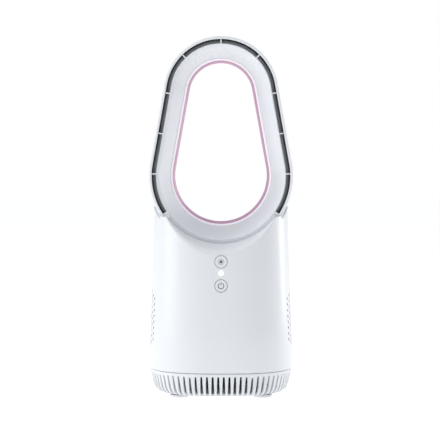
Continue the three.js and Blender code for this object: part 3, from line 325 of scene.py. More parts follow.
def inward_path(angle, z):
    """From the body's crest over the saddle to the lip in front of the loop."""
    x, y, _ = on_wall(angle, z)
    side = 1 if y > 0 else -1
    depth = abs(y)
    path = [Vector((x, y, z))]
    radius = saddle_radius(depth)
    inner = math.copysign(math.sqrt(max(radius ** 2 - (LOWER_Z - z) ** 2, 0)), x)
    if abs(inner) < abs(x) - 1e-6:
        path.append(Vector((inner, y, z)))
    turn = math.atan2(inner, LOWER_Z - z)
    for step in range(1, 2 * SADDLE_ROWS + 1):
        here = depth + (SEAT_HALF - depth) * step / (2 * SADDLE_ROWS)
        path.append(Vector(on_saddle(turn, side * here, saddle_radius(here))))
    return path, turn


def body_column(angle):
    """One upright column of the body's outside: eased foot, wall, and the fillet over the crest."""
    z = crest_z(angle)
    crest = Vector(on_wall(angle, z))
    on_lip = abs(math.sin(angle)) > math.sin(CORNER_ANGLE) - 1e-9
    if on_lip:
        path, turn = inward_path(angle, z)
        spread = min(1.0, (abs(crest.y) - SEAT_HALF) / 16)
        ease = CREST_EASE + (SADDLE_FILLET - CREST_EASE) * spread * spread * (3 - 2 * spread)
    else:
        seat_x = math.copysign(math.sqrt(SEAT_RADIUS ** 2 - (LOWER_Z - z) ** 2), crest.x)
        low = Vector(on_saddle(math.copysign(CORNER_TURN, crest.x), crest.y, SEAT_RADIUS))
        path, turn, ease = [crest, Vector((seat_x, crest.y, z)), low], None, CREST_EASE
        if abs(seat_x - crest.x) < 1e-6:
            path.pop(1)
    rest = resampled(path, ease, SADDLE_ROWS)
    rows = [Vector(on_wall(angle, BODY_FOOT_Z, FOOT_EASE)),
            Vector(on_wall(angle, BODY_FOOT_Z + FOOT_EASE * 0.3, FOOT_EASE * 0.3)),
            Vector(on_wall(angle, BODY_FOOT_Z + FOOT_EASE))]
    shoulder = Vector(on_wall(angle, z - ease))
    rise = shoulder.z - BODY_FOOT_Z
    rows += [Vector(on_wall(angle, BODY_FOOT_Z + rise * share)) for share in (0.33, 0.66)]
    for step in range(FILLET_ROWS):
        share = step / FILLET_ROWS
        rows.append(shoulder.lerp(crest, share).lerp(crest.lerp(rest[0], share), share))
    return rows, rest, turn


def body_surface():
    """The body's outside with the saddle, its lips and the seat that the loop stands in."""
    quarter_turns = [(-CORNER_ANGLE, CORNER_ANGLE, SIDE_COLUMNS),
                     (CORNER_ANGLE, math.pi - CORNER_ANGLE, LIP_COLUMNS),
                     (math.pi - CORNER_ANGLE, math.pi + CORNER_ANGLE, SIDE_COLUMNS),
                     (math.pi + CORNER_ANGLE, 2 * math.pi - CORNER_ANGLE, LIP_COLUMNS)]
    side_angles = [-CORNER_ANGLE * (1 - 2 * step / SIDE_COLUMNS) for step in range(SIDE_COLUMNS // 2 + 1)]
    seat_depths = [abs(on_wall(angle, crest_z(angle))[1]) for angle in side_angles]
    points, faces = [], []
    for start, end, count in quarter_turns:
        columns = []
        for step in range(count + 1):
            angle = start + (end - start) * step / count
            rows, rest, turn = body_column(angle)
            column = rows + rest
            if count == LIP_COLUMNS:
                side = 1 if math.sin(angle) > 0 else -1
                column += [Vector(on_saddle(turn, side * depth, SEAT_RADIUS)) for depth in seat_depths]
            columns.append(column)
        first = len(points)
        faces += [tuple(corner + first for corner in face)
                  for face in grid_faces(len(columns), len(columns[0]), False, False)]
        points += [place for column in columns for place in column]
    body = object_from("body_skin", points, faces)
    shape = bmesh.new()
    shape.from_mesh(body.data)
    bmesh.ops.remove_doubles(shape, verts=shape.verts, dist=2e-6)
    loose = [edge for edge in shape.edges if edge.is_boundary and edge.verts[0].co.z > 2 * BODY_FOOT_Z * MM]
    bmesh.ops.holes_fill(shape, edges=loose, sides=8)
    bmesh.ops.recalc_face_normals(shape, faces=shape.faces)
    shape.to_mesh(body.data)
    shape.free()
    return body


# ---- The air loop's shape ----

SIDE_TILT = math.asin((LOWER_RADIUS - UPPER_RADIUS) / (UPPER_Z - LOWER_Z))
SIDE_LENGTH = math.sqrt((UPPER_Z - LOWER_Z) ** 2 - (LOWER_RADIUS - UPPER_RADIUS) ** 2)
SLOT_INNER = RIM_WIDTH + SLOT_WIDTH
SLOT_MIDDLE = RIM_WIDTH + SLOT_WIDTH / 2
LIGHT_OUTER = THROAT_OFFSET - LIGHT_WIDTH
RIM_ROUNDING = 0.9
UPPER_CIRCLE = (UPPER_RADIUS, UPPER_Z)
LOWER_CIRCLE = (LOWER_RADIUS, LOWER_Z)


def loop_section(profile, circle, angle):
    """A section of [offset inwards, y] points at an angle on one of the loop's two circles."""
    radius, centre_z = circle
    return [((radius - offset) * math.cos(angle), y, centre_z + (radius - offset) * math.sin(angle))
            for offset, y in profile]


def loop_arc(profile, circle, start, end):
    """Sections along a part of one circle, from one angle to another."""
    count = max(1, math.ceil((end - start) / LOOP_STEP))
    return [loop_section(profile, circle, start + (end - start) * index / count)
            for index in range(count + 1)]


def straight_run(first, last):
    """The sections between two others, along a straight side of the loop."""
    return [[tuple(Vector(here).lerp(Vector(there), step / SIDE_SECTIONS))
             for here, there in zip(first, last)] for step in range(1, SIDE_SECTIONS)]


def loop_rings(profile):
    """Sections all the way round the egg-shaped outline, with a few along its straight sides."""
    upper = loop_arc(profile, UPPER_CIRCLE, SIDE_TILT, math.pi - SIDE_TILT)
    lower = loop_arc(profile, LOWER_CIRCLE, math.pi - SIDE_TILT, 2 * math.pi + SIDE_TILT)
    return upper + straight_run(upper[-1], lower[0]) + lower + straight_run(lower[-1], upper[0])


def quarter(middle, reach, start, count):
    """A quarter of an ellipse as a run of points."""
    angles = [start + math.pi / 2 * step / count for step in range(count + 1)]
    return [(middle[0] - reach[0] * math.cos(angle), middle[1] + reach[1] * math.sin(angle))
            for angle in angles]


TAIL_OFFSET = 11.0
TAIL_OUTER_LENGTH = 15.0
THROAT_REAR_OFFSET = 23.6


def tail_curve(depth, count=10):
    """The loop's rounded rear edge, from its outside round to its throat."""
    seam = THROAT_SEAM_Y + GAP
    outer = quarter((TAIL_OFFSET, LOOP_HALF_DEPTH - TAIL_OUTER_LENGTH),
                    (TAIL_OFFSET - depth, TAIL_OUTER_LENGTH - depth), 0, count)
    inner_reach = (THROAT_REAR_OFFSET - TAIL_OFFSET - depth, LOOP_HALF_DEPTH - seam - depth)
    inner = quarter((TAIL_OFFSET, seam), inner_reach, math.pi / 2, count)
    return outer + inner[1:]


def rounded_corner(before, corner, after, radius, count=4):
    """A rounded corner as a short curve between two straight runs."""
    before, corner, after = Vector(before), Vector(corner), Vector(after)
    start = corner + (before - corner).normalized() * radius
    end = corner + (after - corner).normalized() * radius
    places = []
    for step in range(count + 1):
        share = step / count
        places.append(tuple(start.lerp(corner, share).lerp(corner.lerp(end, share), share)))
    return places


def make_shroud():
    """The loop's outer and rear wall."""
    front = -LOOP_HALF_DEPTH
    profile = [(RIM_WIDTH, front + SLOT_DEPTH), (RIM_WIDTH, front + 3)]
    profile += rounded_corner((RIM_WIDTH, front + 2), (RIM_WIDTH, front), (0, front), 0.7)
    profile += rounded_corner((RIM_WIDTH, front), (0, front), (0, front + 4), 1.3, 6)
    profile += [(0, front + 4), (0, -12), (0, 10)]
    profile += tail_curve(0) + tail_curve(LOOP_WALL)[::-1] + [(LOOP_WALL, front + SLOT_DEPTH)]
    shroud = band("loop_shroud", loop_rings(profile))
    foot_z = LOWER_Z - LOWER_RADIUS
    bore = [(0, foot_z - 4), (NECK_HOLE, foot_z - 4), (NECK_HOLE, NECK_TOP_Z), (0, NECK_TOP_Z)]
    points, faces = turned(bore, 64)
    return bored(shroud, object_from("neck_bore", points, faces))


def two_finishes(piece, section_size, main_material, first_material):
    """Gives the first two strips round a band one finish and the rest of it another."""
    piece.data.materials.append(main_material)
    piece.data.materials.append(first_material)
    for face in piece.data.polygons:
        face.material_index = 1 if face.index % section_size < 2 else 0
    return piece


def funnel_depth(share):
    """How far back the funnel's surface is, at a share of the way from its lip to the light ring."""
    return -LOOP_HALF_DEPTH + (LIGHT_FRONT_Y + LOOP_HALF_DEPTH) * share ** FUNNEL_BOW


def make_funnel(shell_material, slot_shade_material):
    """The loop's inner wall: the slot's slope, painted dark grey as the shade inside the slot, the lip, the
    funnel and the light ring's channel.
    """
    front = -LOOP_HALF_DEPTH
    lip = SLOT_INNER + RIM_ROUNDING
    reach = LIGHT_OUTER - GAP - lip
    visible = [(lip + reach * step / FUNNEL_STEPS, funnel_depth(step / FUNNEL_STEPS))
               for step in range(1, FUNNEL_STEPS + 1)]
    hidden = [(offset - LOOP_WALL, depth + LOOP_WALL / 2) for offset, depth in visible[1:-2:2]]
    channel = LIGHT_OUTER - GAP
    rear = LIGHT_REAR_Y + 2 * GAP + STRIP_THICKNESS
    profile = [(NOZZLE_OUTER, front + NOZZLE_DEPTH + LOOP_WALL), (NOZZLE_OUTER, front + NOZZLE_DEPTH)]
    profile += [(SLOT_INNER - 0.5, front + 3.0), (SLOT_INNER, front + 2)]
    profile += rounded_corner((SLOT_INNER, front + 2), (SLOT_INNER + 0.25, front), visible[1], 0.8, 6)
    profile += visible[1:]
    inside = THROAT_REAR_OFFSET - LOOP_WALL
    profile += [(channel, rear), (THROAT_OFFSET - GAP, rear), (THROAT_REAR_OFFSET, THROAT_SEAM_Y),
                (inside, THROAT_SEAM_Y), (inside, rear + LOOP_WALL),
                (channel - LOOP_WALL, rear + LOOP_WALL), (channel - LOOP_WALL, LIGHT_FRONT_Y)]
    profile += hidden[::-1]
    funnel = band("loop_funnel", loop_rings(profile))
    # the slot's outer wall and white slope get the painted shade finish, which stands in for the shade inside
    # the slot
    return two_finishes(funnel, len(profile), shell_material, slot_shade_material)


# ---- Node trees ----

class Field:
    """A value in a node tree; sums, differences and products of it make the nodes that work them out."""

    def __init__(self, tree, socket):
        self.tree = tree
        self.socket = socket

    def __add__(self, other):
        return self.tree.math("ADD", self, other)

    def __sub__(self, other):
        return self.tree.math("SUBTRACT", self, other)

    def __rsub__(self, other):
        return self.tree.math("SUBTRACT", other, self)

    def __mul__(self, other):
        return self.tree.math("MULTIPLY", self, other)

    __radd__ = __add__
    __rmul__ = __mul__


class Tree:
    """A node tree, with one method that makes any node and sets its inputs."""

    def __init__(self, tree):
        self.tree = tree

    def node(self, kind, inputs=None, **settings):
        made = self.tree.nodes.new(kind)
        for name, value in settings.items():
            setattr(made, name, value)
        for key, value in (inputs or {}).items():
            source = value.socket if isinstance(value, Field) else value
            if isinstance(source, bpy.types.NodeSocket):
                self.tree.links.new(source, made.inputs[key])
            else:
                made.inputs[key].default_value = source
        return made

    def math(self, operation, *values):
        made = self.node("ShaderNodeMath", dict(enumerate(values)), operation=operation)
        return Field(self, made.outputs[0])

    def mix(self, share, first, second):
        """A colour between two others."""
        made = self.node("ShaderNodeMix", {0: share, 6: first, 7: second}, data_type="RGBA")
        return made.outputs[2]


def repeated(name, carrier, stamp, places, turns):
    """One mesh with a copy of the stamp at each place, made with Geometry Nodes.

    places holds positions in metres and turns holds rotations; both are kept on the carrier's points.
    """
    mesh = bpy.data.meshes.new(name)
    mesh.from_pydata([tuple(place) for place in places], [], [])
    turn = mesh.attributes.new("turn", "FLOAT_VECTOR", "POINT")
    for index, value in enumerate(turns):
        turn.data[index].vector = value
    holder = bpy.data.objects.new(name, mesh)
    bpy.context.scene.collection.objects.link(holder)
    group = bpy.data.node_groups.new(carrier, "GeometryNodeTree")
    group.interface.new_socket("Geometry", in_out="INPUT", socket_type="NodeSocketGeometry")
    stamp_input = group.interface.new_socket("Stamp", in_out="INPUT", socket_type="NodeSocketObject")
    group.interface.new_socket("Geometry", in_out="OUTPUT", socket_type="NodeSocketGeometry")
    tree = Tree(group)
    start = tree.node("NodeGroupInput")
    shape = tree.node("GeometryNodeObjectInfo", {"Object": start.outputs["Stamp"]},
                      transform_space="ORIGINAL")
    turned_by = tree.node("GeometryNodeInputNamedAttribute", {"Name": "turn"}, data_type="FLOAT_VECTOR")
    rotation = tree.node("FunctionNodeEulerToRotation", {0: turned_by.outputs["Attribute"]})
    points = tree.node("GeometryNodeMeshToPoints", {"Mesh": start.outputs["Geometry"]})
    copies = tree.node("GeometryNodeInstanceOnPoints", {
        "Points": points.outputs["Points"], "Instance": shape.outputs["Geometry"],
        "Rotation": rotation.outputs[0]})
    whole = tree.node("GeometryNodeRealizeInstances", {"Geometry": copies.outputs[0]})
    tree.node("NodeGroupOutput", {0: whole.outputs[0]})
    modifier = holder.modifiers.new("copies", "NODES")
    modifier.node_group = group
    modifier[stamp_input.identifier] = stamp
    evaluated(holder)
    bpy.data.objects.remove(stamp)
    return holder


def joined(first, *others):
    """One mesh object from several, with their materials kept."""
    shape = bmesh.new()
    shape.from_mesh(first.data)
    for other in others:
        shape.from_mesh(other.data)
        bpy.data.objects.remove(other)
    shape.to_mesh(first.data)
    shape.free()
    return first


# ---- Slot ribs and the slot's closed bottom ----

def slot_place(reach):
    """The middle of the slot at a distance from the loop's top: x, z and the outward angle."""
    upper = UPPER_RADIUS - SLOT_MIDDLE
    lower = LOWER_RADIUS - SLOT_MIDDLE
    upper_arc = upper * (math.pi / 2 - SIDE_TILT)
    if reach <= upper_arc:
        angle = math.pi / 2 - reach / upper
        return upper * math.cos(angle), UPPER_Z + upper * math.sin(angle), angle
    if reach <= upper_arc + SIDE_LENGTH:
        down = reach - upper_arc
        return (upper * math.cos(SIDE_TILT) + down * math.sin(SIDE_TILT),
                UPPER_Z + upper * math.sin(SIDE_TILT) - down * math.cos(SIDE_TILT), SIDE_TILT)
    angle = SIDE_TILT - (reach - upper_arc - SIDE_LENGTH) / lower
    return lower * math.cos(angle), LOWER_Z + lower * math.sin(angle), angle


def box_mesh(name, low, high, ease):
    """A block with eased edges, in millimetres."""
    corners = [(x, y, z) for z in (low[2], high[2]) for y in (low[1], high[1]) for x in (low[0], high[0])]
    sides = [(0, 1, 3, 2), (4, 5, 7, 6), (0, 1, 5, 4), (2, 3, 7, 6), (0, 2, 6, 4), (1, 3, 7, 5)]
    made = object_from(name, corners, sides)
    bevel = made.modifiers.new("ease", "BEVEL")
    bevel.width = ease * MM
    bevel.segments = 2
    return evaluated(made)


def make_ribs():
    """The nine ribs across the slot, at equal distances along it."""
    stamp = box_mesh("slot_rib", (-SLOT_WIDTH / 2 - 0.3, -LOOP_HALF_DEPTH + 0.5, -RIB_THICKNESS / 2),
                     (SLOT_WIDTH / 2 - GAP, -LOOP_HALF_DEPTH + SLOT_DEPTH, RIB_THICKNESS / 2), 0.2)
    places, turns = [], []
    for index in range(-4, 5):
        x, z, angle = slot_place(abs(index) * RIB_PITCH)
        side = -1 if index < 0 else 1
        places.append((side * x * MM, 0, z * MM))
        turns.append((0, -angle if side > 0 else angle - math.pi, 0))
    return repeated("slot_ribs", "slot ribs", stamp, places, turns)


def make_slot_floor():
    """The slot's closed stretch below its two ends."""
    end = slot_place(SLOT_REACH)[2]
    front = -LOOP_HALF_DEPTH
    outer, inner, depth = RIM_WIDTH + 0.1, SLOT_INNER + RIM_ROUNDING, front + SLOT_DEPTH / 2
    profile = [(outer, front + 0.5), (inner, front + 0.5), (inner, depth), (outer, depth)]
    rings = loop_arc(profile, LOWER_CIRCLE, math.pi - end, 2 * math.pi + end)
    points = [place for ring in rings for place in ring]
    last = len(points) - 4
    faces = grid_faces(len(rings), 4) + [(0, 1, 2, 3), (last, last + 1, last + 2, last + 3)]
    return object_from("slot_floor", points, faces)


# ---- Light ring ----

def make_light_ring(rim_highlight_material, face_material):
    """The ring at the throat: a narrow rim painted pale and faintly glowing as a highlight, and a wider tinted
    face that slopes into the throat.
    """
    front, rear = LIGHT_FRONT_Y, LIGHT_REAR_Y
    profile = [(LIGHT_OUTER - RING_TUCK, front + 0.15), (LIGHT_OUTER - 0.1, front),
               (LIGHT_OUTER + RING_RIM, front), (LIGHT_OUTER + RING_RIM + 1, front + 1.2),
               (THROAT_OFFSET - 0.7, front + 2.9), (THROAT_OFFSET, front + 4.6),
               (THROAT_OFFSET, rear), (LIGHT_OUTER, rear)]
    ring = band("light_ring", loop_rings(profile))
    return two_finishes(ring, len(profile), face_material, rim_highlight_material)


# ---- Keys and indicator, laid out on the front wall ----

def on_panel(places, z):
    """Points of [across, depth, height] set on the leaning front wall, at a height."""
    turn = Matrix.Rotation(-WALL_LEAN, 3, "X")
    origin = Vector((0, -body_half(z), z))
    return [tuple(turn @ Vector(place) + origin) for place in places]


def round_piece(name, profile, z, segments=64):
    """A round piece on the front wall from [radius, depth] points."""
    points, faces = turned(profile, segments, axis="Y")
    return object_from(name, on_panel(points, z), faces)


def prisms(name, outlines, front, back, z):
    """Thin flat solids on the front wall from closed outlines of [across, height] points."""
    points, faces = [], []
    for outline in outlines:
        first, count = len(points), len(outline)
        points += [(x, front, h) for x, h in outline] + [(x, back, h) for x, h in outline]
        faces.append(tuple(range(first, first + count)))
        faces.append(tuple(range(first + 2 * count - 1, first + count - 1, -1)))
        for here in range(count):
            there = (here + 1) % count
            faces.append((first + here, first + there, first + count + there, first + count + here))
    return object_from(name, on_panel(points, z), faces)


def arc_outline(inner, outer, start, end, steps=40):
    """A part of a flat ring, from one angle to another."""
    turns = [start + (end - start) * step / steps for step in range(steps + 1)]
    back_turns = [end + (start - end) * step / steps for step in range(steps + 1)]
    out = [(outer * math.cos(turn), outer * math.sin(turn)) for turn in turns]
    back = [(inner * math.cos(turn), inner * math.sin(turn)) for turn in back_turns]
    return out + back


def bar_outline(start, end, width, angle):
    """A straight stroke from one distance to another from the centre, at an angle."""
    along = Vector((math.cos(angle), math.sin(angle)))
    across = Vector((-math.sin(angle), math.cos(angle))) * width / 2
    return [tuple(along * start + across), tuple(along * start - across),
            tuple(along * end - across), tuple(along * end + across)]


def make_key(name, z):
    """A round key: a shallow dish on top and a flange behind the wall."""
    return round_piece(name, KEY_PROFILE, z)


def make_light_icon():
    """A small lamp sign: a dot with eight short rays."""
    dot = [(1.4 * math.cos(step * math.pi / 16), 1.4 * math.sin(step * math.pi / 16)) for step in range(32)]
    rays = [bar_outline(2.0, 3.2, 0.6, ray * math.pi / 4) for ray in range(8)]
    return prisms("light_key_sign", [dot] + rays, SIGN_FRONT, SIGN_BACK, LIGHT_KEY_Z)


def make_power_icon():
    """A small standby sign: an open ring with a short stroke."""
    ring = arc_outline(2.4, 3.1, math.radians(120), math.radians(420))
    stroke = bar_outline(0.8, 3.6, 0.7, math.pi / 2)
    return prisms("power_key_sign", [ring, stroke], SIGN_FRONT, SIGN_BACK, POWER_KEY_Z)


def make_lens():
    """The indicator's small crowned lens."""
    return round_piece("indicator_lens", LENS_PROFILE, INDICATOR_Z, 48)


# ---- Body piece ----

def intake_places():
    """The intake holes on both sides: staggered columns, shorter towards the patch's ends."""
    places, turns = [], []
    for side in (1, -1):
        for column in range(HOLE_COLUMNS):
            from_middle = abs(column - (HOLE_COLUMNS - 1) / 2)
            count = round(HOLES_IN_MIDDLE - from_middle)
            y = (column - (HOLE_COLUMNS - 1) / 2) * HOLE_PITCH_Y
            for row in range(count):
                z = HOLES_Z + (row - (count - 1) / 2) * HOLE_PITCH_Z
                angle = bisected(lambda turn: on_wall(turn, z)[1] < abs(y), 0.0, math.pi / 2) if y else 0.0
                x, _, _ = on_wall(angle, z)
                slope = (abs(x) ** (SQUARENESS - 1), abs(y) ** (SQUARENESS - 1))
                heading = math.atan2(math.copysign(slope[1], y) if y else 0.0, side * slope[0])
                places.append((side * x * MM, y * MM, z * MM))
                turns.append((0, 0, heading))
    return places, turns


def peg(name, radius, start, end, segments=14):
    """A plain round bar along X, in millimetres, used to cut holes."""
    points, faces = turned([(0, start), (radius, start), (radius, end), (0, end)], segments, axis="Y")
    return object_from(name, [(y, x, z) for x, y, z in points], faces)


def make_body():
    """The body shell with its saddle, its wall and all the holes through it."""
    body = body_surface()
    body.data.materials.append(FINISHES["white_shell"])
    wall = body.modifiers.new("wall", "SOLIDIFY")
    wall.thickness = WALL * MM
    wall.offset = -1
    wall.use_even_offset = False
    evaluated(body)
    key_hole = KEY_RADIUS + KEY_GAP
    key_bore = [(0, -3), (key_hole, -3), (key_hole, 6), (0, 6)]
    tools = [round_piece("key_bore", key_bore, z) for z in (LIGHT_KEY_Z, POWER_KEY_Z)]
    lens_hole = INDICATOR_RADIUS + LENS_CLEARANCE
    lens_bore = [(0, -3), (lens_hole, -3), (lens_hole, 6), (0, 6)]
    tools.append(round_piece("lens_bore", lens_bore, INDICATOR_Z, 48))
    points, faces = turned([(0, 60), (INLET_HOLE, 60), (INLET_HOLE, 76), (0, 76)], 48, "Y", (0, 0, INLET_Z))
    tools.append(object_from("inlet_bore", points, faces))
    points, faces = turned([(0, 120), (NECK_HOLE, 120), (NECK_HOLE, 156), (0, 156)], 64)
    tools.append(object_from("neck_bore", points, faces))
    places, turns = intake_places()
    stamp = peg("peg", HOLE_RADIUS, -4.5, 3.0)
    for corner in stamp.data.vertices:
        corner.co.y *= HOLE_WIDENING
    stamp.data.materials.append(FINISHES["hole_shade"])
    tools.append(repeated("intake_bores", "perforations", stamp, places, turns))
    return bored(body, *tools)


# ---- Base ----

def make_grille():
    """The slotted base: a curved flank whose slots widen downwards and wrap under its turn."""
    flank = [(GRILLE_TOP_HALF, GRILLE_TOP_Z - 0.5), (GRILLE_FLANK_HALF, GRILLE_FLANK_Z)]
    turn = []
    start, control, end = Vector(flank[-1]), Vector(GRILLE_TURN), Vector((GRILLE_FOOT_HALF, GRILLE_FOOT_Z))
    for step in range(1, GRILLE_TURN_STEPS + 1):
        share = step / GRILLE_TURN_STEPS
        turn.append(tuple(start.lerp(control, share).lerp(control.lerp(end, share), share)))
    profile = [(GRILLE_TOP_HALF - 0.4, GRILLE_TOP_Z)] + flank + turn + GRILLE_INSIDE
    rings = []
    for column in range(GRILLE_COLUMNS):
        angle = 2 * math.pi * column / GRILLE_COLUMNS
        reach = plan_reach(angle)
        rings.append([(half * reach * math.cos(angle), half * reach * math.sin(angle), z)
                      for half, z in profile])
    grille = band("grille", rings)
    shoulder = GRILLE_SLOT_TOP_Z - 0.9
    half_top = GRILLE_SLOT_TOP / 2
    outline = [(-GRILLE_SLOT_FOOT / 2, 2.0), (GRILLE_SLOT_FOOT / 2, 2.0), (half_top, shoulder)]
    outline += [(half_top * math.cos(math.pi * step / SLOT_ROUND_STEPS),
                 shoulder + half_top * math.sin(math.pi * step / SLOT_ROUND_STEPS))
                for step in range(1, SLOT_ROUND_STEPS)]
    outline.append((-half_top, shoulder))
    count = len(outline)
    points = [(GRILLE_SLOT_INNER, y, z) for y, z in outline] + [(SLOT_CUT_REACH, y, z) for y, z in outline]
    faces = [tuple(range(count)), tuple(range(2 * count - 1, count - 1, -1))]
    faces += [(here, (here + 1) % count, count + (here + 1) % count, count + here) for here in range(count)]
    stamp = object_from("slot_cutter", points, faces)
    places, turns = [], []
    for slot in range(GRILLE_SLOTS):
        angle = 2 * math.pi * (slot + 0.5) / GRILLE_SLOTS
        reach = plan_reach(angle)
        spot = Vector((reach * math.cos(angle), reach * math.sin(angle)))
        slope = [math.copysign(abs(value) ** (SQUARENESS - 1), value) for value in spot]
        normal = Vector(slope).normalized()
        along = spot.dot(normal)
        foot = spot * SLOT_PLACE_HALF - normal * (SLOT_PLACE_HALF * along + (along - 1) * -GRILLE_SLOT_INNER)
        places.append((foot.x * MM, foot.y * MM, 0))
        turns.append((0, 0, math.atan2(normal.y, normal.x)))
    return bored(grille, repeated("slot_cutters", "base slots", stamp, places, turns))


def make_foot(name, x, y):
    """A round rubber foot with an eased lower edge."""
    points, faces = turned(FOOT_PROFILE, 64, "Z", (x, y, 0))
    return object_from(name, points, faces)


# ---- Materials: object coordinates throughout, in metres ----

def finish_of(name, colour, roughness, metal=0.0, mottle=0.02, wear=0.05, grain=0.03, grain_scale=2600.0,
              coat=0.0, glow=0.0):
    """A moulded or metal surface: slight unevenness of tone and gloss, with a fine grain in its relief."""
    made = bpy.data.materials.new(name)
    made.use_nodes = True
    made.node_tree.nodes.clear()
    tree = Tree(made.node_tree)
    place = tree.node("ShaderNodeTexCoord").outputs["Object"]
    broad = tree.node("ShaderNodeTexNoise", {"Vector": place, "Scale": 24.0, "Detail": 3.0})
    fine = tree.node("ShaderNodeTexNoise", {"Vector": place, "Scale": grain_scale, "Detail": 2.0})
    streaks = tree.node("ShaderNodeTexNoise", {"Vector": place, "Scale": 130.0, "Detail": 4.0})
    tone = Field(tree, broad.outputs[0])
    gloss = Field(tree, streaks.outputs[0])
    darker = tuple(value * (1 - mottle) for value in colour) + (1.0,)
    lighter = tuple(min(1.0, value * (1 + mottle)) for value in colour) + (1.0,)
    shade = tree.mix(tone, darker, lighter)
    uneven = roughness + (gloss - 0.5) * wear
    relief = tree.node("ShaderNodeBump", {"Strength": grain, "Distance": 0.0002, "Height": fine.outputs[0]})
    surface = tree.node("ShaderNodeBsdfPrincipled", {
        "Base Color": shade, "Roughness": uneven, "Normal": relief.outputs[0]})
    surface.inputs["Metallic"].default_value = metal
    surface.inputs["Coat Weight"].default_value = coat
    surface.inputs["Coat Roughness"].default_value = 0.12
    surface.inputs["IOR"].default_value = 1.46
    surface.inputs["Emission Color"].default_value = tuple(colour) + (1.0,)
    surface.inputs["Emission Strength"].default_value = glow
    tree.node("ShaderNodeOutputMaterial", {"Surface": surface.outputs[0]})
    return made


FINISHES = {
    "white_shell": finish_of("white_shell", (0.80, 0.82, 0.85), 0.36, mottle=0.012, coat=0.15),
    # painted shade: dark grey on the white slot slope, where the slot lies in shade
    "slot_painted_shade": finish_of("slot_painted_shade", (0.27, 0.273, 0.28), 0.55, mottle=0.03),
    "white_grille": finish_of("white_grille", (0.79, 0.81, 0.84), 0.42, mottle=0.012),
    "pink_diffuser": finish_of("pink_diffuser", (0.60, 0.36, 0.50), 0.42, mottle=0.03, glow=0.04),
    # painted highlight: the ring's outer rim is painted near white and made to glow, standing in for the line
    # of light along its edge
    "diffuser_rim_highlight": finish_of("diffuser_rim_highlight", (0.92, 0.87, 0.91), 0.4, mottle=0.02, glow=0.25),
    "white_key": finish_of("white_key", (0.80, 0.82, 0.85), 0.34, mottle=0.012, coat=0.15),
    "sign_grey": finish_of("sign_grey", (0.10, 0.11, 0.12), 0.5, mottle=0.05),
    "hole_shade": finish_of("hole_shade", (0.06, 0.062, 0.066), 0.6, mottle=0.05),
    "clear_lens": finish_of("clear_lens", (0.95, 0.97, 1.0), 0.18, mottle=0.01, grain=0.0, glow=1.0),
    "grey_plastic": finish_of("grey_plastic", (0.62, 0.64, 0.67), 0.5, mottle=0.03, grain=0.12),
    "impeller_plastic": finish_of("impeller_plastic", (0.32, 0.34, 0.37), 0.45, mottle=0.04, grain=0.08),
    "black_plastic": finish_of("black_plastic", (0.025, 0.026, 0.028), 0.45, mottle=0.1, grain=0.12),
    "rubber": finish_of("rubber", (0.80, 0.81, 0.83), 0.8, mottle=0.12, wear=0.1, grain=0.3,
                        grain_scale=1400.0),
    "steel": finish_of("steel", (0.56, 0.57, 0.58), 0.3, metal=1.0, mottle=0.05, wear=0.12, grain=0.05),
    "bronze": finish_of("bronze", (0.62, 0.36, 0.19), 0.38, metal=1.0, mottle=0.08, wear=0.12, grain=0.08),
    "board": finish_of("board", (0.022, 0.06, 0.04), 0.5, mottle=0.15, wear=0.1, grain=0.1),
    "lead": finish_of("lead", (0.04, 0.04, 0.045), 0.55, mottle=0.1, grain=0.1),
}


def dress(piece, slot, body, *nodes):
    """Gives a piece its finish, the body it moves with and the CAD nodes that it stands for."""
    if not piece.data.materials:
        piece.data.materials.append(FINISHES[slot])
    smooth(piece)
    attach(piece, body)
    if nodes:
        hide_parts(*nodes)


# ---- The pieces ----

dress(make_body(), "white_shell", "root", "body_shell")
dress(make_shroud(), "white_shell", "root", "loop_shroud")
funnel = make_funnel(FINISHES["white_shell"], FINISHES["slot_painted_shade"])
dress(joined(funnel, make_slot_floor(), make_ribs()), "white_shell", "root", "loop_funnel")
light_ring = make_light_ring(FINISHES["diffuser_rim_highlight"], FINISHES["pink_diffuser"])
dress(light_ring, "pink_diffuser", "root", "light_ring")
dress(make_key("light_key_cap", LIGHT_KEY_Z), "white_key", "light_button", "light_key")
dress(make_key("power_key_cap", POWER_KEY_Z), "white_key", "power_button", "power_key")
for sign, body in ((make_light_icon(), "light_button"), (make_power_icon(), "power_button")):
    sign.data.materials.append(FINISHES["sign_grey"])
    dress(sign, "white_key", body)
dress(make_lens(), "clear_lens", "root", "indicator_lens")
dress(make_grille(), "white_grille", "root", "base_grille")
for front, side_y in (("front", -FOOT_PLACE), ("rear", FOOT_PLACE)):
    for side, side_x in (("left", -FOOT_PLACE), ("right", FOOT_PLACE)):
        foot = make_foot(f"rubber_foot_{front}_{side}", side_x, side_y)
        dress(foot, "rubber", "root", f"foot_{front}_{side}")

for entry in frame["record"]["subparts"]:
    node = frame["nodes"][entry["node"]]
    node.data.materials.clear()
    node.data.materials.append(FINISHES[entry["material_slot"]])


# ---- Camera, floor and light ----

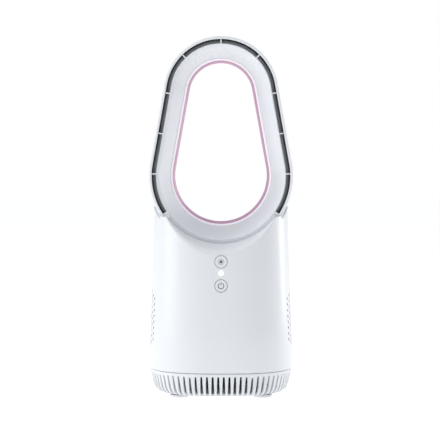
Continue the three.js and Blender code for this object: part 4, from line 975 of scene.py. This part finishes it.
scene = bpy.context.scene
camera = bpy.data.objects.new("camera", bpy.data.cameras.new("camera"))
scene.collection.objects.link(camera)
across = (PHOTO_SIZE / 2 - AXIS_PIXEL_X) * PIXEL
camera.location = (across, -CAMERA_DISTANCE, CAMERA_HEIGHT)
aim = Vector((across, 0, AIM_HEIGHT)) - camera.location
camera.rotation_euler = aim.to_track_quat("-Z", "Y").to_euler()
camera.data.sensor_width = SENSOR_WIDTH
camera.data.lens = SENSOR_WIDTH * CAMERA_DISTANCE / (PHOTO_SIZE * PIXEL)
camera.data.clip_end = 30.0
scene.camera = camera


def panel_light(name, place, aim_at, size, power):
    """A large soft light that faces a point of the scene."""
    lamp = bpy.data.lights.new(name, "AREA")
    lamp.shape = "RECTANGLE"
    lamp.size, lamp.size_y = size
    lamp.energy = power
    made = bpy.data.objects.new(name, lamp)
    made.location = place
    made.rotation_euler = (Vector(aim_at) - Vector(place)).to_track_quat("-Z", "Y").to_euler()
    scene.collection.objects.link(made)


FAN_MIDDLE = (0, 0, 0.17)
panel_light("left_panel", (-1.5, -0.35, 0.6), FAN_MIDDLE, (1.0, 1.6), 12)
panel_light("right_panel", (1.5, 0.9, 0.5), FAN_MIDDLE, (0.6, 1.4), 13)
panel_light("top_panel", (0.0, -0.3, 1.6), (0, 0, 0.15), (1.2, 1.2), 5)

FLOOR_HALF = 6000                # millimetres
floor_points = [(-FLOOR_HALF, -FLOOR_HALF, 0), (FLOOR_HALF, -FLOOR_HALF, 0),
                (FLOOR_HALF, FLOOR_HALF, 0), (-FLOOR_HALF, FLOOR_HALF, 0)]
floor = object_from("floor", floor_points, [(0, 1, 2, 3)])
floor.location.z = -0.0004
floor.data.materials.append(finish_of("floor", (0.55, 0.55, 0.55), 0.8, mottle=0.005, grain=0.02, glow=1.3))

world = bpy.data.worlds.new("studio")
scene.world = world
world.use_nodes = True
world.node_tree.nodes.clear()
sky = Tree(world.node_tree)
seen = sky.node("ShaderNodeBackground", {"Color": (1.0, 1.0, 1.0, 1.0), "Strength": 1.0})
lit = sky.node("ShaderNodeBackground", {"Color": (0.93, 0.96, 1.0, 1.0), "Strength": 0.50})
direct = sky.node("ShaderNodeLightPath")
both = sky.node("ShaderNodeMixShader", {
    0: direct.outputs["Is Camera Ray"], 1: lit.outputs[0], 2: seen.outputs[0]})
sky.node("ShaderNodeOutputWorld", {"Surface": both.outputs[0]})
scene.view_settings.view_transform = "Standard"
scene.view_settings.look = "None"
